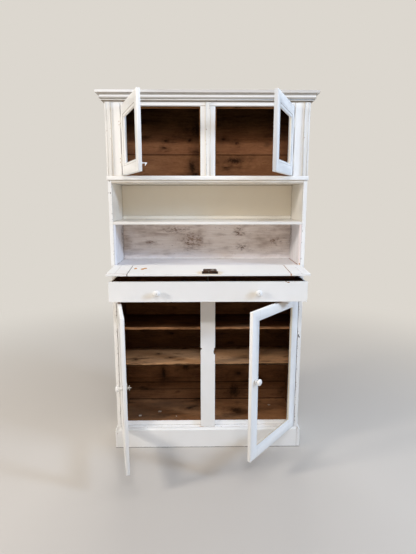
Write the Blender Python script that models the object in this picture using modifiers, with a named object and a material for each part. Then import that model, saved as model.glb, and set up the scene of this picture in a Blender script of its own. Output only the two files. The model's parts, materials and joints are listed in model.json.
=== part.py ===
"""Painted bookcase cabinet: cornice, two framed upper doors, two open niches with a fall flap,
one wide drawer and two tall framed lower doors, all open as in daily use.

Metres, +Z up. The origin is on the floor, under the middle of the front plinth board.
Below the root empty, Y = 0 is the front plane of the carcass and +Y runs to the back.
"""

import math

import bmesh
import bpy
from mathutils import Vector

# Carcass
HEIGHT = 2.000
WIDTH = 1.066
DEPTH = 0.310
SIDE_THICK = 0.020
TOP_THICK = 0.018
BACK_THICK = 0.013
BACK_REBATE = 0.010
BACK_BOTTOM = 0.050
BACK_SEAM_RISE = 0.152
BACK_BOARD_PITCH = 0.150
BACK_GROOVE = 0.0025
BACK_LAP = 0.008

# Boards between the sides, by the height of their top face
UPPER_FLOOR_TOP = 1.560
UPPER_FLOOR_THICK = 0.022
NICHE_SHELF_TOP = 1.334
NICHE_SHELF_THICK = 0.0145
NICHE_FLOOR_TOP = 1.0895
NICHE_FLOOR_THICK = 0.018
DUST_BOARD_THICK = 0.010
HIGH_SHELF_TOP = 0.735
LOW_SHELF_TOP = 0.516
SHELF_THICK = 0.014
BOTTOM_THICK = 0.028
HOUSING_DEPTH = 0.006
HOUSING_STOP = 0.012

# Face frame
FRAME_THICK = 0.020
UPPER_OPENING_DROP = 0.070
OUTER_STILE_WIDTH = 0.0795
UPPER_MULLION_WIDTH = 0.0784
LOWER_MULLION_WIDTH = 0.083
MORTISE_TOP = 0.616
LEFT_MORTISE_HEIGHT = 0.015
RIGHT_MORTISE_HEIGHT = 0.036
MORTISE_DEPTH = 0.006
FLAP_RAIL_HEIGHT = 0.0287
FLAP_RAIL_THICK = 0.013
ARRIS = 0.005
LEDGE_RISE = 0.001
BOTTOM_RAIL_DEPTH = 0.030
BATTEN_HEIGHT = 0.020
BATTEN_THICK = 0.006

# Mouldings
CORNICE_PROJECTION = 0.038
CORNICE_DROP = 0.052
WAIST_HEIGHT = 0.0167
WAIST_PROJECTION = 0.012
WAIST_OVERHANG = 0.0055
STRIP_WIDTH = 0.026
STRIP_PROJECTION = 0.009
STRIP_SETBACK = 0.005
STRIP_REED = 0.13
PLINTH_HEIGHT = 0.126
PLINTH_THICK = 0.0122
PLINTH_COVE = 0.014

# Doors
DOOR_THICK = 0.0184
DOOR_PLAY = 0.002
UPPER_STILE = 0.062
UPPER_TOP_RAIL = 0.064
UPPER_BOTTOM_RAIL = 0.060
LOWER_STILE = 0.066
LOWER_TOP_RAIL = 0.056
LOWER_BOTTOM_RAIL = 0.064
UPPER_STICKING = 0.014
LOWER_STICKING = 0.010
STICKING_QUIRK = 0.0015
STICKING_DEPTH = 0.008
PANE_REBATE_WIDTH = 0.009
PANE_REBATE_DEPTH = 0.0074
UPPER_LEFT_OPEN = math.radians(70.4)
UPPER_RIGHT_OPEN = math.radians(68.4)
LOWER_LEFT_OPEN = math.radians(77.0)
LOWER_RIGHT_OPEN = math.radians(50.3)

# Butt hinges, with the pin in front of the door face
HINGE_LENGTH = 0.055
HINGE_RADIUS = 0.0018
HINGE_STAND = 0.0014
LEAF_THICK = 0.0012
UPPER_HINGE_SHARE = 0.226
LOWER_HINGE_SHARE = 0.202

# Fall flap
FLAP_THICK = 0.0115
FLAP_OVERLAP = 0.0025
FLAP_HEAD_PLAY = 0.002
FLAP_RISE = 0.0085
FLAP_DROOP = math.radians(3.0)
FLAP_LEFT_END = 0.104
FLAP_RIGHT_END = 0.0955
FLAP_CLEAT = 0.042
FLAP_GAP = 0.004
FLAP_TONGUE = 0.008
FLAP_LINE = 0.0012
STOP_WIDTH = 0.012
LOCK_X = 0.0077
LOCK_WIDTH = 0.069
LOCK_DEPTH = 0.055
LOCK_HEIGHT = 0.0145
SELVEDGE_WIDTH = 0.081
SELVEDGE_THICK = 0.003

# Drawer
DRAWER_OUT = 0.192
DRAWER_PLAY = 0.0015
DRAWER_HEAD_PLAY = 0.002
DRAWER_OPENING = 0.108
DRAWER_BACK_GAP = 0.0167
DRAWER_FRONT_THICK = 0.018
DRAWER_SIDE_THICK = 0.009
DRAWER_SIDE_INSET = 0.0005
DRAWER_SIDE_DROP = 0.006
DRAWER_BACK_THICK = 0.012
DRAWER_BOTTOM_THICK = 0.006
DRAWER_BOTTOM_LIFT = 0.008
DIVIDER_THICK = 0.008
DIVIDER_DROP = 0.014
DRAWER_KNOB_X = 0.261
DRAWER_KNOB_SHIFT = -0.0025
DRAWER_KNOB_DROP = 0.004

# Turned knobs and latches
KNOB_HEAD_RADIUS = 0.017
KNOB_NECK_RADIUS = 0.0075
KNOB_FOOT_RADIUS = 0.011
DRAWER_KNOB_LENGTH = 0.028
DOOR_KNOB_LENGTH = 0.034
LEFT_KNOB_Z = 0.570
RIGHT_KNOB_Z = 0.5625
SPINDLE_RADIUS = 0.004
SPINDLE_TAIL = 0.018
TONGUE_LENGTH = 0.048
TONGUE_WIDTH = 0.014
TONGUE_THICK = 0.003
CATCH_REACH = 0.026
CATCH_WIDTH = 0.007
CATCH_RISE = 0.037
CATCH_INSET = 0.014

# Fits and facets
FIT = 0.0003
DOOR_BACK_GAP = 0.0021
TONGUE_GAP = 0.003
EDGE = 0.0015
EDGE_SEGMENTS = 2
ARC_STEPS = 5
TURN_STEPS = 18
OVERSHOOT = 0.010

# Sizes that follow from the ones above
HALF = WIDTH / 2
INNER = HALF - SIDE_THICK
BOARD_BACK = DEPTH - BACK_THICK - FIT
FRONT_Y = PLINTH_THICK / 2 + FIT
TOP_UNDER = HEIGHT - TOP_THICK
CORNICE_UNDER = HEIGHT - CORNICE_DROP
SILL_TOP = UPPER_FLOOR_TOP + FIT + WAIST_HEIGHT
UPPER_OPENING_TOP = HEIGHT - UPPER_OPENING_DROP
BOTTOM_RAIL_TOP = PLINTH_HEIGHT + LEDGE_RISE
BOTTOM_TOP = BOTTOM_RAIL_TOP + BOTTOM_THICK
BACK_SEAM_LOW = NICHE_FLOOR_TOP - NICHE_FLOOR_THICK / 2
BACK_SEAM_HIGH = UPPER_FLOOR_TOP + BACK_SEAM_RISE
STILE_EDGE = HALF - OUTER_STILE_WIDTH
NICHE_SHELF_UNDER = NICHE_SHELF_TOP - NICHE_SHELF_THICK
FLAP_AXIS_Z = NICHE_FLOOR_TOP + FLAP_RISE
FLAP_HEEL = FLAP_THICK * math.tan(FLAP_DROOP) - FIT
FLAP_RAIL_TOP = NICHE_FLOOR_TOP - NICHE_FLOOR_THICK - FIT
FLAP_RAIL_BOTTOM = FLAP_RAIL_TOP - FLAP_RAIL_HEIGHT
DUST_BOARD_TOP = FLAP_RAIL_BOTTOM - DRAWER_OPENING
DUST_BOARD_UNDER = DUST_BOARD_TOP - DUST_BOARD_THICK
DRAWER_HEIGHT = DRAWER_OPENING - DRAWER_HEAD_PLAY - FIT
DRAWER_DEPTH = BOARD_BACK - DRAWER_BACK_GAP
FLAP_DEPTH = NICHE_SHELF_UNDER - FLAP_HEAD_PLAY - FLAP_AXIS_Z
DOOR_BACK = DOOR_THICK + DOOR_BACK_GAP

WHITE = ((0.84, 0.82, 0.78), 0.45, 0.0)
CREAM = ((0.66, 0.59, 0.47), 0.55, 0.0)
BROWN = ((0.11, 0.055, 0.028), 0.65, 0.0)
IRON = ((0.08, 0.06, 0.045), 0.60, 0.8)


def new_collection(name):
    group = bpy.data.collections.new(name)
    bpy.context.scene.collection.children.link(group)
    return group


def clear_scene():
    for item in list(bpy.data.objects):
        bpy.data.objects.remove(item, do_unlink=True)


clear_scene()
PARTS = new_collection("bookcase_cabinet")
CUTTERS = new_collection("cutters")


def paint(item, finish):
    """Give a piece its own material."""
    colour, roughness, metallic = finish
    material = bpy.data.materials.new(item.name + "_finish")
    material.use_nodes = True
    shader = material.node_tree.nodes["Principled BSDF"]
    shader.inputs["Base Color"].default_value = (*colour, 1.0)
    shader.inputs["Roughness"].default_value = roughness
    shader.inputs["Metallic"].default_value = metallic
    item.data.materials.append(material)


def empty(name, place, parent=None, turn=(0.0, 0.0, 0.0)):
    """An empty on a joint's axis, turned to the joint's rest pose."""
    item = bpy.data.objects.new(name, None)
    item.location = place
    item.rotation_euler = turn
    item.parent = parent
    PARTS.objects.link(item)
    return item


def add_object(name, shape, parent, finish=None, place=(0.0, 0.0, 0.0), turn=(0.0, 0.0, 0.0)):
    """Turn a bmesh into a named piece, or into a cutter when it has no finish."""
    mesh = bpy.data.meshes.new(name)
    shape.to_mesh(mesh)
    shape.free()
    item = bpy.data.objects.new(name, mesh)
    item.location = place
    item.rotation_euler = turn
    item.parent = parent
    if finish is None:
        item.hide_render = True
        item.display_type = "WIRE"
        CUTTERS.objects.link(item)
    else:
        PARTS.objects.link(item)
        paint(item, finish)
    return item


def add_cube(shape, low, high):
    low = Vector(low)
    high = Vector(high)
    made = bmesh.ops.create_cube(shape, size=1.0)
    bmesh.ops.scale(shape, vec=high - low, verts=made["verts"])
    bmesh.ops.translate(shape, vec=(low + high) / 2, verts=made["verts"])


def bevel(item, width=EDGE, segments=EDGE_SEGMENTS, limit="ANGLE"):
    modifier = item.modifiers.new("rounded_edges", "BEVEL")
    modifier.width = width
    modifier.segments = segments
    modifier.limit_method = limit
    modifier.angle_limit = math.radians(50.0)


def board(name, low, high, parent, finish, rounded=()):
    """A sawn board with softened edges; rounded lists the sides (X, Z) of its worn front edges."""
    centre = (Vector(low) + Vector(high)) / 2
    shape = bmesh.new()
    add_cube(shape, Vector(low) - centre, Vector(high) - centre)
    weight = shape.edges.layers.float.new("bevel_weight_edge")
    for line in shape.edges:
        middle = (line.verts[0].co + line.verts[1].co) / 2
        toward = [0 if abs(value) < FIT else int(math.copysign(1, value)) for value in middle]
        line[weight] = 1.0 if toward[1] < 0 and (toward[0], toward[2]) in rounded else 0.0
    item = add_object(name, shape, parent, finish, centre)
    if rounded:
        bevel(item, ARRIS, 3, "WEIGHT")
    bevel(item)
    return item


def cutter(name, boxes, parent):
    """One cutter made of separate boxes, each a (low, high) pair."""
    shape = bmesh.new()
    for low, high in boxes:
        add_cube(shape, low, high)
    return add_object(name, shape, parent)


def boolean(item, tool, operation="DIFFERENCE"):
    modifier = item.modifiers.new(tool.name, "BOOLEAN")
    modifier.operation = operation
    modifier.object = tool


def arc(centre, radius, start, end, steps=ARC_STEPS):
    """Points on an arc, with the angles in degrees."""
    points = []
    for step in range(steps + 1):
        angle = math.radians(start + (end - start) * step / steps)
        points.append((centre[0] + radius * math.cos(angle), centre[1] + radius * math.sin(angle)))
    return points


def loft(shape, sections):
    """Skin sections of equal point count in order and close both ends."""
    rings = [[shape.verts.new(point) for point in section] for section in sections]
    for near, far in zip(rings, rings[1:]):
        for index in range(len(near)):
            shape.faces.new((near[index - 1], near[index], far[index], far[index - 1]))
    shape.faces.new(rings[0])
    shape.faces.new(rings[-1])
    bmesh.ops.recalc_face_normals(shape, faces=shape.faces)
    if shape.calc_volume(signed=True) < 0.0:
        bmesh.ops.reverse_faces(shape, faces=shape.faces)


def extrusion(name, outline, first, last, parent, finish, place=(0.0, 0.0, 0.0)):
    """Sweep an outline from first(point) to last(point), which place each of its points."""
    shape = bmesh.new()
    loft(shape, [[first(*point) for point in outline], [last(*point) for point in outline]])
    return add_object(name, shape, parent, finish, place)


def turned(name, profile, parent, finish, place, turn=(0.0, 0.0, 0.0)):
    """A turned piece from (radius, height) points that run down its outer side."""
    shape = bmesh.new()
    verts = [shape.verts.new((radius, 0.0, height)) for radius, height in profile]
    for upper, lower in zip(verts, verts[1:]):
        shape.edges.new((upper, lower))
    item = add_object(name, shape, parent, finish, place, turn)
    screw = item.modifiers.new("turning", "SCREW")
    screw.steps = TURN_STEPS
    screw.render_steps = TURN_STEPS
    screw.use_merge_vertices = True
    screw.merge_threshold = 0.00001
    screw.use_smooth_shade = True
    return item


def housed_boards():
    """Front, underside and top of each board that is housed in the sides."""
    return {
        "upper_floor": (0.0, UPPER_FLOOR_TOP - UPPER_FLOOR_THICK, UPPER_FLOOR_TOP),
        "niche_shelf": (0.0, NICHE_SHELF_UNDER, NICHE_SHELF_TOP),
        "niche_floor": (0.0, NICHE_FLOOR_TOP - NICHE_FLOOR_THICK, NICHE_FLOOR_TOP),
        "dust_board": (0.0, DUST_BOARD_UNDER, DUST_BOARD_TOP),
        "high_shelf": (DOOR_BACK, HIGH_SHELF_TOP - SHELF_THICK, HIGH_SHELF_TOP),
        "low_shelf": (DOOR_BACK, LOW_SHELF_TOP - SHELF_THICK, LOW_SHELF_TOP),
        "bottom_board": (DOOR_BACK, BOTTOM_RAIL_TOP + FIT, BOTTOM_TOP),
    }


def make_sides(root):
    """Two tall sides with stopped housings for the boards and a rebate for the back."""
    for side, sign in (("left", -1), ("right", 1)):
        near = sign * INNER
        far = sign * HALF
        low = (min(near, far), 0.0, 0.0)
        high = (max(near, far), DEPTH, TOP_UNDER - FIT)
        panel = board("side_" + side, low, high, root, WHITE)
        inside = sign * (INNER - OVERSHOOT)
        floor = sign * (INNER + HOUSING_DEPTH)
        boxes = []
        for front, under, top in housed_boards().values():
            start = max(front, HOUSING_STOP) - FIT
            boxes.append(((min(inside, floor), start, under - FIT),
                          (max(inside, floor), DEPTH + OVERSHOOT, top + FIT)))
        boolean(panel, cutter("housings_" + side, boxes, root))
        rebate = sign * (INNER + BACK_REBATE)
        rebate_low = (min(inside, rebate), BOARD_BACK, BACK_BOTTOM - FIT)
        rebate_high = (max(inside, rebate), DEPTH + OVERSHOOT, HEIGHT)
        boolean(panel, cutter("back_rebate_" + side, [(rebate_low, rebate_high)], root))


def make_housed_boards(root):
    """The horizontal boards, notched at the front where their housings stop short."""
    reach = INNER + HOUSING_DEPTH - FIT
    shoulder = INNER - FIT
    finishes = {"upper_floor": WHITE, "niche_shelf": WHITE, "niche_floor": WHITE, "dust_board": WHITE}
    for name, (front, under, top) in housed_boards().items():
        low = (-reach, front, under)
        high = (reach, BOARD_BACK, top)
        item = board(name, low, high, root, finishes.get(name, BROWN))
        boxes = []
        for sign in (-1, 1):
            ends = sorted((sign * shoulder, sign * (reach + OVERSHOOT)))
            boxes.append(((ends[0], -OVERSHOOT, under - OVERSHOOT),
                          (ends[1], HOUSING_STOP, top + OVERSHOOT)))
        boolean(item, cutter(name + "_shoulders", boxes, root))


def make_back(root):
    """Back in three panels of horizontal boards, let into the sides and half-lapped at the open seam."""
    reach = INNER + BACK_REBATE - FIT
    front = BOARD_BACK + FIT
    spans = {
        "back_lower": (BACK_BOTTOM, BACK_SEAM_LOW - FIT),
        "back_middle": (BACK_SEAM_LOW, BACK_SEAM_HIGH + BACK_LAP),
        "back_upper": (BACK_SEAM_HIGH, TOP_UNDER - FIT),
    }
    for name, (low, high) in spans.items():
        panel = board(name, (-reach, front, low), (reach, DEPTH, high), root, BROWN)
        if name == "back_lower":
            count = int((DUST_BOARD_UNDER - BOTTOM_TOP) / BACK_BOARD_PITCH)
            boxes = []
            for index in range(1, count + 1):
                seam = BOTTOM_TOP + index * BACK_BOARD_PITCH
                boxes.append(((-reach - OVERSHOOT, front - OVERSHOOT, seam),
                              (reach + OVERSHOOT, front + BACK_GROOVE, seam + BACK_GROOVE)))
            boolean(panel, cutter("board_joints", boxes, root))
        wide = reach + OVERSHOOT
        middle = (front + DEPTH) / 2
        if name == "back_middle":
            lap = [((-wide, front - OVERSHOOT, BACK_SEAM_HIGH - BACK_GROOVE),
                    (wide, middle, BACK_SEAM_HIGH + BACK_LAP + OVERSHOOT))]
            boolean(panel, cutter("back_middle_lap", lap, root))
        if name == "back_upper":
            lap = [((-wide, middle - FIT, BACK_SEAM_HIGH - OVERSHOOT),
                    (wide, DEPTH + OVERSHOOT, BACK_SEAM_HIGH + BACK_LAP + FIT))]
            boolean(panel, cutter("back_upper_lap", lap, root))


def make_face_frame(root):
    """Stiles, rails and mullions at the front plane, and the small fillets beside them."""
    board("top_board", (-HALF, 0.0, TOP_UNDER), (HALF, DEPTH, HEIGHT), root, WHITE)
    frame_top = TOP_UNDER - FIT
    for side, sign in (("left", -1), ("right", 1)):
        ends = sorted((sign * STILE_EDGE, sign * (INNER - FIT)))
        board("upper_stile_" + side, (ends[0], 0.0, SILL_TOP + FIT),
              (ends[1], FRAME_THICK, frame_top), root, WHITE, [(-sign, 0)])
        stop = sorted((sign * (INNER - FIT), sign * (INNER - STOP_WIDTH)))
        board("flap_stop_" + side, (stop[0], 0.0, NICHE_FLOOR_TOP + FIT),
              (stop[1], STOP_WIDTH, NICHE_SHELF_UNDER - FIT), root, WHITE)
    rail_end = STILE_EDGE - FIT
    board("top_rail", (-rail_end, 0.0, UPPER_OPENING_TOP), (rail_end, FRAME_THICK, frame_top),
          root, WHITE, [(0, -1)])
    board("upper_mullion", (-UPPER_MULLION_WIDTH / 2, 0.0, SILL_TOP + FIT),
          (UPPER_MULLION_WIDTH / 2, FRAME_THICK, UPPER_OPENING_TOP - FIT), root, WHITE, [(-1, 0), (1, 0)])
    end = INNER - FIT
    board("flap_rail", (-end, 0.0, FLAP_RAIL_BOTTOM), (end, FLAP_RAIL_THICK, FLAP_RAIL_TOP), root, WHITE)
    board("bottom_rail", (-end, 0.0, 0.0), (end, BOTTOM_RAIL_DEPTH, BOTTOM_RAIL_TOP), root, WHITE)
    board("niche_batten", (-end, BOARD_BACK - BATTEN_THICK, NICHE_SHELF_TOP + FIT),
          (end, BOARD_BACK, NICHE_SHELF_TOP + BATTEN_HEIGHT), root, CREAM)
    make_lower_mullion(root)


def make_lower_mullion(root):
    """Centre post between the lower doors, with a broken lock mortise in each edge."""
    half = LOWER_MULLION_WIDTH / 2
    post = board("lower_mullion", (-half, 0.0, BOTTOM_RAIL_TOP + FIT),
                 (half, FRAME_THICK, DUST_BOARD_UNDER - FIT), root, WHITE)
    boxes = []
    for sign, height in ((-1, LEFT_MORTISE_HEIGHT), (1, RIGHT_MORTISE_HEIGHT)):
        ends = sorted((sign * (half - MORTISE_DEPTH), sign * (half + OVERSHOOT)))
        boxes.append(((ends[0], -OVERSHOOT, MORTISE_TOP - height),
                      (ends[1], FRAME_THICK + OVERSHOOT, MORTISE_TOP)))
    boolean(post, cutter("lock_mortises", boxes, root))


def cornice_outline():
    """Section of the cornice as (projection, height): fillet, cove, square, undercut, ovolo and quirk."""
    fillet = 0.013
    cove = 0.015
    square = 0.0105
    set_out = 0.0015
    undercut = 0.001
    step = 0.006
    quirk = 0.0025
    ovolo = CORNICE_DROP - fillet - cove - square - 2 * quirk
    cove_top = (CORNICE_PROJECTION - 0.002, HEIGHT - fillet)
    square_top = cove_top[1] - cove
    square_out = cove_top[0] - cove + set_out
    square_foot = square_top - square
    points = [(FIT, HEIGHT), (CORNICE_PROJECTION, HEIGHT), (CORNICE_PROJECTION, cove_top[1])]
    points += arc((cove_top[0], square_top), cove, 90, 180)
    points += [(square_out, square_top), (square_out, square_foot)]
    ovolo_out = square_out - step
    ovolo_top = square_foot - quirk
    points += [(ovolo_out, square_foot + undercut)]
    points += arc((ovolo_out - ovolo, ovolo_top), ovolo, 0, -90)
    quirk_out = ovolo_out - ovolo - 2 * quirk
    points += [(quirk_out, CORNICE_UNDER + quirk), (quirk_out, CORNICE_UNDER), (FIT, CORNICE_UNDER)]
    return points


def plinth_outline():
    """Section of the plinth as (projection, height), with a hollow running into the carcass."""
    back = FIT
    face = FIT + PLINTH_THICK
    lip = 0.003
    points = [(back, 0.0), (face, 0.0), (face, PLINTH_HEIGHT - PLINTH_COVE)]
    hollow = PLINTH_THICK - lip
    for step in range(1, ARC_STEPS + 1):
        angle = math.pi / 2 * step / ARC_STEPS
        out = face - hollow * math.sin(angle)
        points.append((out, PLINTH_HEIGHT - PLINTH_COVE * math.cos(angle)))
    points.append((back, PLINTH_HEIGHT))
    return points


def make_mitred_set(name, outline, root, overlap):
    """A moulding round the front and both sides; overlap is how its front corners meet."""
    front_end = (lambda out: HALF + out) if overlap == "mitre" else (lambda out: HALF)
    side_end = (lambda out: -out) if overlap == "mitre" else (lambda out: -FIT - PLINTH_THICK)
    trim = FIT
    extrusion(name + "_front", outline,
              lambda out, up: (-front_end(out) + trim, -out, up),
              lambda out, up: (front_end(out) - trim, -out, up), root, WHITE)
    for side, sign in (("left", -1), ("right", 1)):
        extrusion(name + "_" + side, outline,
                  lambda out, up: (sign * (HALF + out), side_end(out), up),
                  lambda out, up: (sign * (HALF + out), DEPTH, up), root, WHITE)


def make_mouldings(root):
    """Cornice, plinth, waist moulding and the three upright strips."""
    make_mitred_set("cornice", cornice_outline(), root, "mitre")
    make_mitred_set("plinth", plinth_outline(), root, "butt")
    make_waist(root)
    strip_top = CORNICE_UNDER - FIT
    strip_bottom = SILL_TOP + FIT
    reed = STRIP_WIDTH * STRIP_REED
    reed_middle = (STRIP_WIDTH / 2 - reed, STRIP_PROJECTION - reed)
    outline = [(-STRIP_WIDTH / 2, FIT), (STRIP_WIDTH / 2, FIT)]
    outline += arc(reed_middle, reed, 0, 150)
    outline += arc((-reed_middle[0], reed_middle[1]), reed, 30, 180)
    outer = HALF - STRIP_SETBACK - STRIP_WIDTH / 2
    for name, place in (("left", -outer), ("centre", 0.0), ("right", outer)):
        extrusion("strip_" + name, outline,
                  lambda across, out: (across, -out, strip_bottom),
                  lambda across, out: (across, -out, strip_top), root, WHITE, (place, 0.0, 0.0))


def make_waist(root):
    """Round-nosed moulding under the upper doors, with the sill behind it in one piece."""
    low = UPPER_FLOOR_TOP + FIT
    radius = WAIST_HEIGHT / 2
    nose = WAIST_PROJECTION - radius
    outline = [(FIT, SILL_TOP)] + arc((nose, low + radius), radius, 90, -90) + [(FIT, low)]
    end = HALF + WAIST_OVERHANG
    moulding = extrusion("waist_moulding", outline,
                         lambda out, up: (-end, -out, up), lambda out, up: (end, -out, up), root, WHITE)
    sill = cutter("door_sill", [((-INNER + FIT, -nose, low), (INNER - FIT, FRAME_THICK, SILL_TOP))], root)
    boolean(moulding, sill, "UNION")


def sight_cutter(name, low, high, sticking, parent):
    """The opening of a framed door: moulded at the front, rebated for a pane at the back."""
    face = HINGE_STAND
    back = HINGE_STAND + DOOR_THICK
    steps = [(face - OVERSHOOT, sticking), (face + STICKING_QUIRK, sticking)]
    sweep = sticking - STICKING_QUIRK
    fall = STICKING_DEPTH - STICKING_QUIRK
    for step in range(ARC_STEPS + 1):
        angle = math.pi / 2 * step / ARC_STEPS
        steps.append((face + STICKING_QUIRK + fall * (1 - math.cos(angle)), sweep * (1 - math.sin(angle))))
    rebate = back - PANE_REBATE_DEPTH
    steps += [(rebate, 0.0), (rebate, PANE_REBATE_WIDTH), (back + OVERSHOOT, PANE_REBATE_WIDTH)]
    rings = []
    for depth, inset in steps:
        rings.append([(low[0] - inset, depth, low[1] - inset), (high[0] + inset, depth, low[1] - inset),
                      (high[0] + inset, depth, high[1] + inset), (low[0] - inset, depth, high[1] + inset)])
    shape = bmesh.new()
    loft(shape, rings)
    return add_object(name, shape, parent)


def make_hinge(name, pin, root):
    """Butt hinge: a barrel with ball tips on the door's axis, and the leaf let into the post's edge."""
    half = HINGE_LENGTH / 2
    tip = HINGE_RADIUS * 0.7
    line = 0.0004
    ball = [math.radians(50.0), 0.0, math.radians(-50.0)]
    profile = [(0.0, half + 2 * tip)]
    profile += [(tip * math.cos(angle), half + tip + tip * math.sin(angle)) for angle in ball]
    profile.append((HINGE_RADIUS, half))
    for joint in (HINGE_LENGTH / 6, -HINGE_LENGTH / 6):
        profile += [(HINGE_RADIUS, joint + line), (HINGE_RADIUS - line, joint)]
        profile += [(HINGE_RADIUS, joint - line)]
    profile.append((HINGE_RADIUS, -half))
    profile += [(tip * math.cos(angle), -half - tip + tip * math.sin(angle)) for angle in ball]
    profile.append((0.0, -half - 2 * tip))
    hinge = turned(name, profile, root, IRON, pin)
    leaf_end = HINGE_STAND + DOOR_THICK - EDGE
    low = (pin[0] - LEAF_THICK / 2, pin[1], pin[2] - half + line)
    high = (pin[0] + LEAF_THICK / 2, pin[1] + leaf_end, pin[2] + half - line)
    boolean(hinge, cutter(name + "_leaf", [(low, high)], root), "UNION")


def make_door(name, sign, size, members, axis):
    """Framed door on its hinge axis; sign +1 runs to +X from the hinge, -1 to -X."""
    width, height = size
    stile, top_rail, bottom_rail, sticking = members
    near = DOOR_PLAY / 2
    ends = sorted((sign * near, sign * (near + width)))
    back = HINGE_STAND + DOOR_THICK
    frame = board(name, (ends[0], HINGE_STAND, 0.0), (ends[1], back, height), axis, WHITE)
    sight = sight_cutter(name + "_sight", (ends[0] + stile, bottom_rail),
                         (ends[1] - stile, height - top_rail), sticking, axis)
    boolean(frame, sight)
    return frame


def knob_profile(length, tail):
    """Turned knob along +Z from the face it stands on, with a spindle tail behind the face."""
    head = KNOB_HEAD_RADIUS
    crown = length - head * 0.58
    foot = 0.004
    profile = [(0.0, length)]
    for step in range(1, ARC_STEPS + 1):
        angle = math.pi / 2 * step / ARC_STEPS
        profile.append((head * math.sin(angle), crown + (length - crown) * math.cos(angle)))
    for share, fall in ((0.95, 0.20), (0.80, 0.40), (0.60, 0.55)):
        profile.append((head * share, crown - head * fall))
    neck_top = crown - head * 0.66
    for step in range(ARC_STEPS + 1):
        share = step / ARC_STEPS
        swell = KNOB_FOOT_RADIUS - KNOB_NECK_RADIUS
        profile.append((KNOB_NECK_RADIUS + swell * share ** 3, neck_top + (foot - neck_top) * share))
    profile += [(KNOB_FOOT_RADIUS, FIT)]
    if tail > 0.0:
        profile += [(SPINDLE_RADIUS, FIT), (SPINDLE_RADIUS, -tail)]
        profile += [(0.0, -tail)]
    else:
        profile += [(0.0, FIT)]
    return profile


def make_latch_knob(name, sign, width, height, frame, axis):
    """Knob on a spindle through the free stile; its tongue lies back along the door when unlatched."""
    x = sign * (DOOR_PLAY / 2 + width - LOWER_STILE / 2)
    turn = empty(name + "_axis", (x, HINGE_STAND, height), axis)
    tail = DOOR_THICK + SPINDLE_TAIL
    facing = (math.radians(90.0), 0.0, 0.0)
    knob = turned(name, knob_profile(DOOR_KNOB_LENGTH, tail), turn, WHITE, (0.0, 0.0, 0.0), facing)
    tongue_front = DOOR_THICK + TONGUE_GAP
    reach = sorted((-sign * TONGUE_LENGTH, sign * TONGUE_WIDTH / 2))
    tongue_low = (reach[0], tongue_front, -TONGUE_WIDTH / 2)
    tongue_high = (reach[1], tongue_front + TONGUE_THICK, TONGUE_WIDTH / 2)
    boolean(knob, cutter(name + "_tongue", [(tongue_low, tongue_high)], turn), "UNION")
    shape = bmesh.new()
    bmesh.ops.create_cone(shape, cap_ends=True, segments=TURN_STEPS, radius1=SPINDLE_RADIUS + FIT,
                          radius2=SPINDLE_RADIUS + FIT, depth=DOOR_THICK + 2 * OVERSHOOT)
    hole = add_object(name + "_hole", shape, axis, None, (x, HINGE_STAND + DOOR_THICK / 2, height), facing)
    boolean(frame, hole)


def make_catch(width, axis):
    """Hooked catch on the back of the upper left door, near its free lower corner."""
    plate = 0.002
    arm = 0.005
    drop = 0.013
    reach = CATCH_REACH
    outline = [(FIT, arm * 2), (FIT, -arm * 2), (plate, -arm * 2), (plate, -arm / 2),
               (reach - 2 * arm, -arm / 2), (reach - 2 * arm, -drop), (reach, arm / 2),
               (plate, arm / 2), (plate, arm * 2)]
    middle = DOOR_PLAY / 2 + width - CATCH_INSET
    inner_face = HINGE_STAND + DOOR_THICK
    extrusion("upper_left_catch", outline,
              lambda out, up: (-CATCH_WIDTH / 2, out, up), lambda out, up: (CATCH_WIDTH / 2, out, up),
              axis, WHITE, (middle, inner_face, CATCH_RISE))


def make_doors(root):
    """Both pairs of doors, each turned open about its own hinge axis."""
    upper_width = STILE_EDGE - UPPER_MULLION_WIDTH / 2 - 2 * DOOR_PLAY
    upper_bottom = SILL_TOP + DOOR_PLAY
    upper_height = UPPER_OPENING_TOP - DOOR_PLAY - upper_bottom
    lower_width = INNER - LOWER_MULLION_WIDTH / 2 - 2 * DOOR_PLAY
    lower_bottom = BOTTOM_RAIL_TOP + DOOR_PLAY
    lower_height = DUST_BOARD_UNDER - DOOR_PLAY - lower_bottom
    upper = (STILE_EDGE, upper_bottom, (upper_width, upper_height),
             (UPPER_STILE, UPPER_TOP_RAIL, UPPER_BOTTOM_RAIL, UPPER_STICKING), UPPER_HINGE_SHARE)
    lower = (INNER, lower_bottom, (lower_width, lower_height),
             (LOWER_STILE, LOWER_TOP_RAIL, LOWER_BOTTOM_RAIL, LOWER_STICKING), LOWER_HINGE_SHARE)
    for name, sign, kind, opened in (("upper_left_door", 1, upper, UPPER_LEFT_OPEN),
                                     ("upper_right_door", -1, upper, UPPER_RIGHT_OPEN),
                                     ("lower_left_door", 1, lower, LOWER_LEFT_OPEN),
                                     ("lower_right_door", -1, lower, LOWER_RIGHT_OPEN)):
        post, bottom, size, members, hinge_share = kind
        inset = hinge_share * size[1]
        pin_x = -sign * (post - DOOR_PLAY / 2)
        axis = empty(name + "_axis", (pin_x, -HINGE_STAND, bottom), root, (0.0, 0.0, -sign * opened))
        frame = make_door(name, sign, size, members, axis)
        for level, height in (("top", bottom + size[1] - inset), ("bottom", bottom + inset)):
            make_hinge(name.replace("door", "hinge_" + level), (pin_x, -HINGE_STAND, height), root)
        if kind is lower:
            height = (LEFT_KNOB_Z if sign > 0 else RIGHT_KNOB_Z) - bottom
            make_latch_knob(name.replace("door", "knob"), sign, size[0], height, frame, axis)
    make_catch(upper_width, bpy.data.objects["upper_left_door_axis"])


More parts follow.
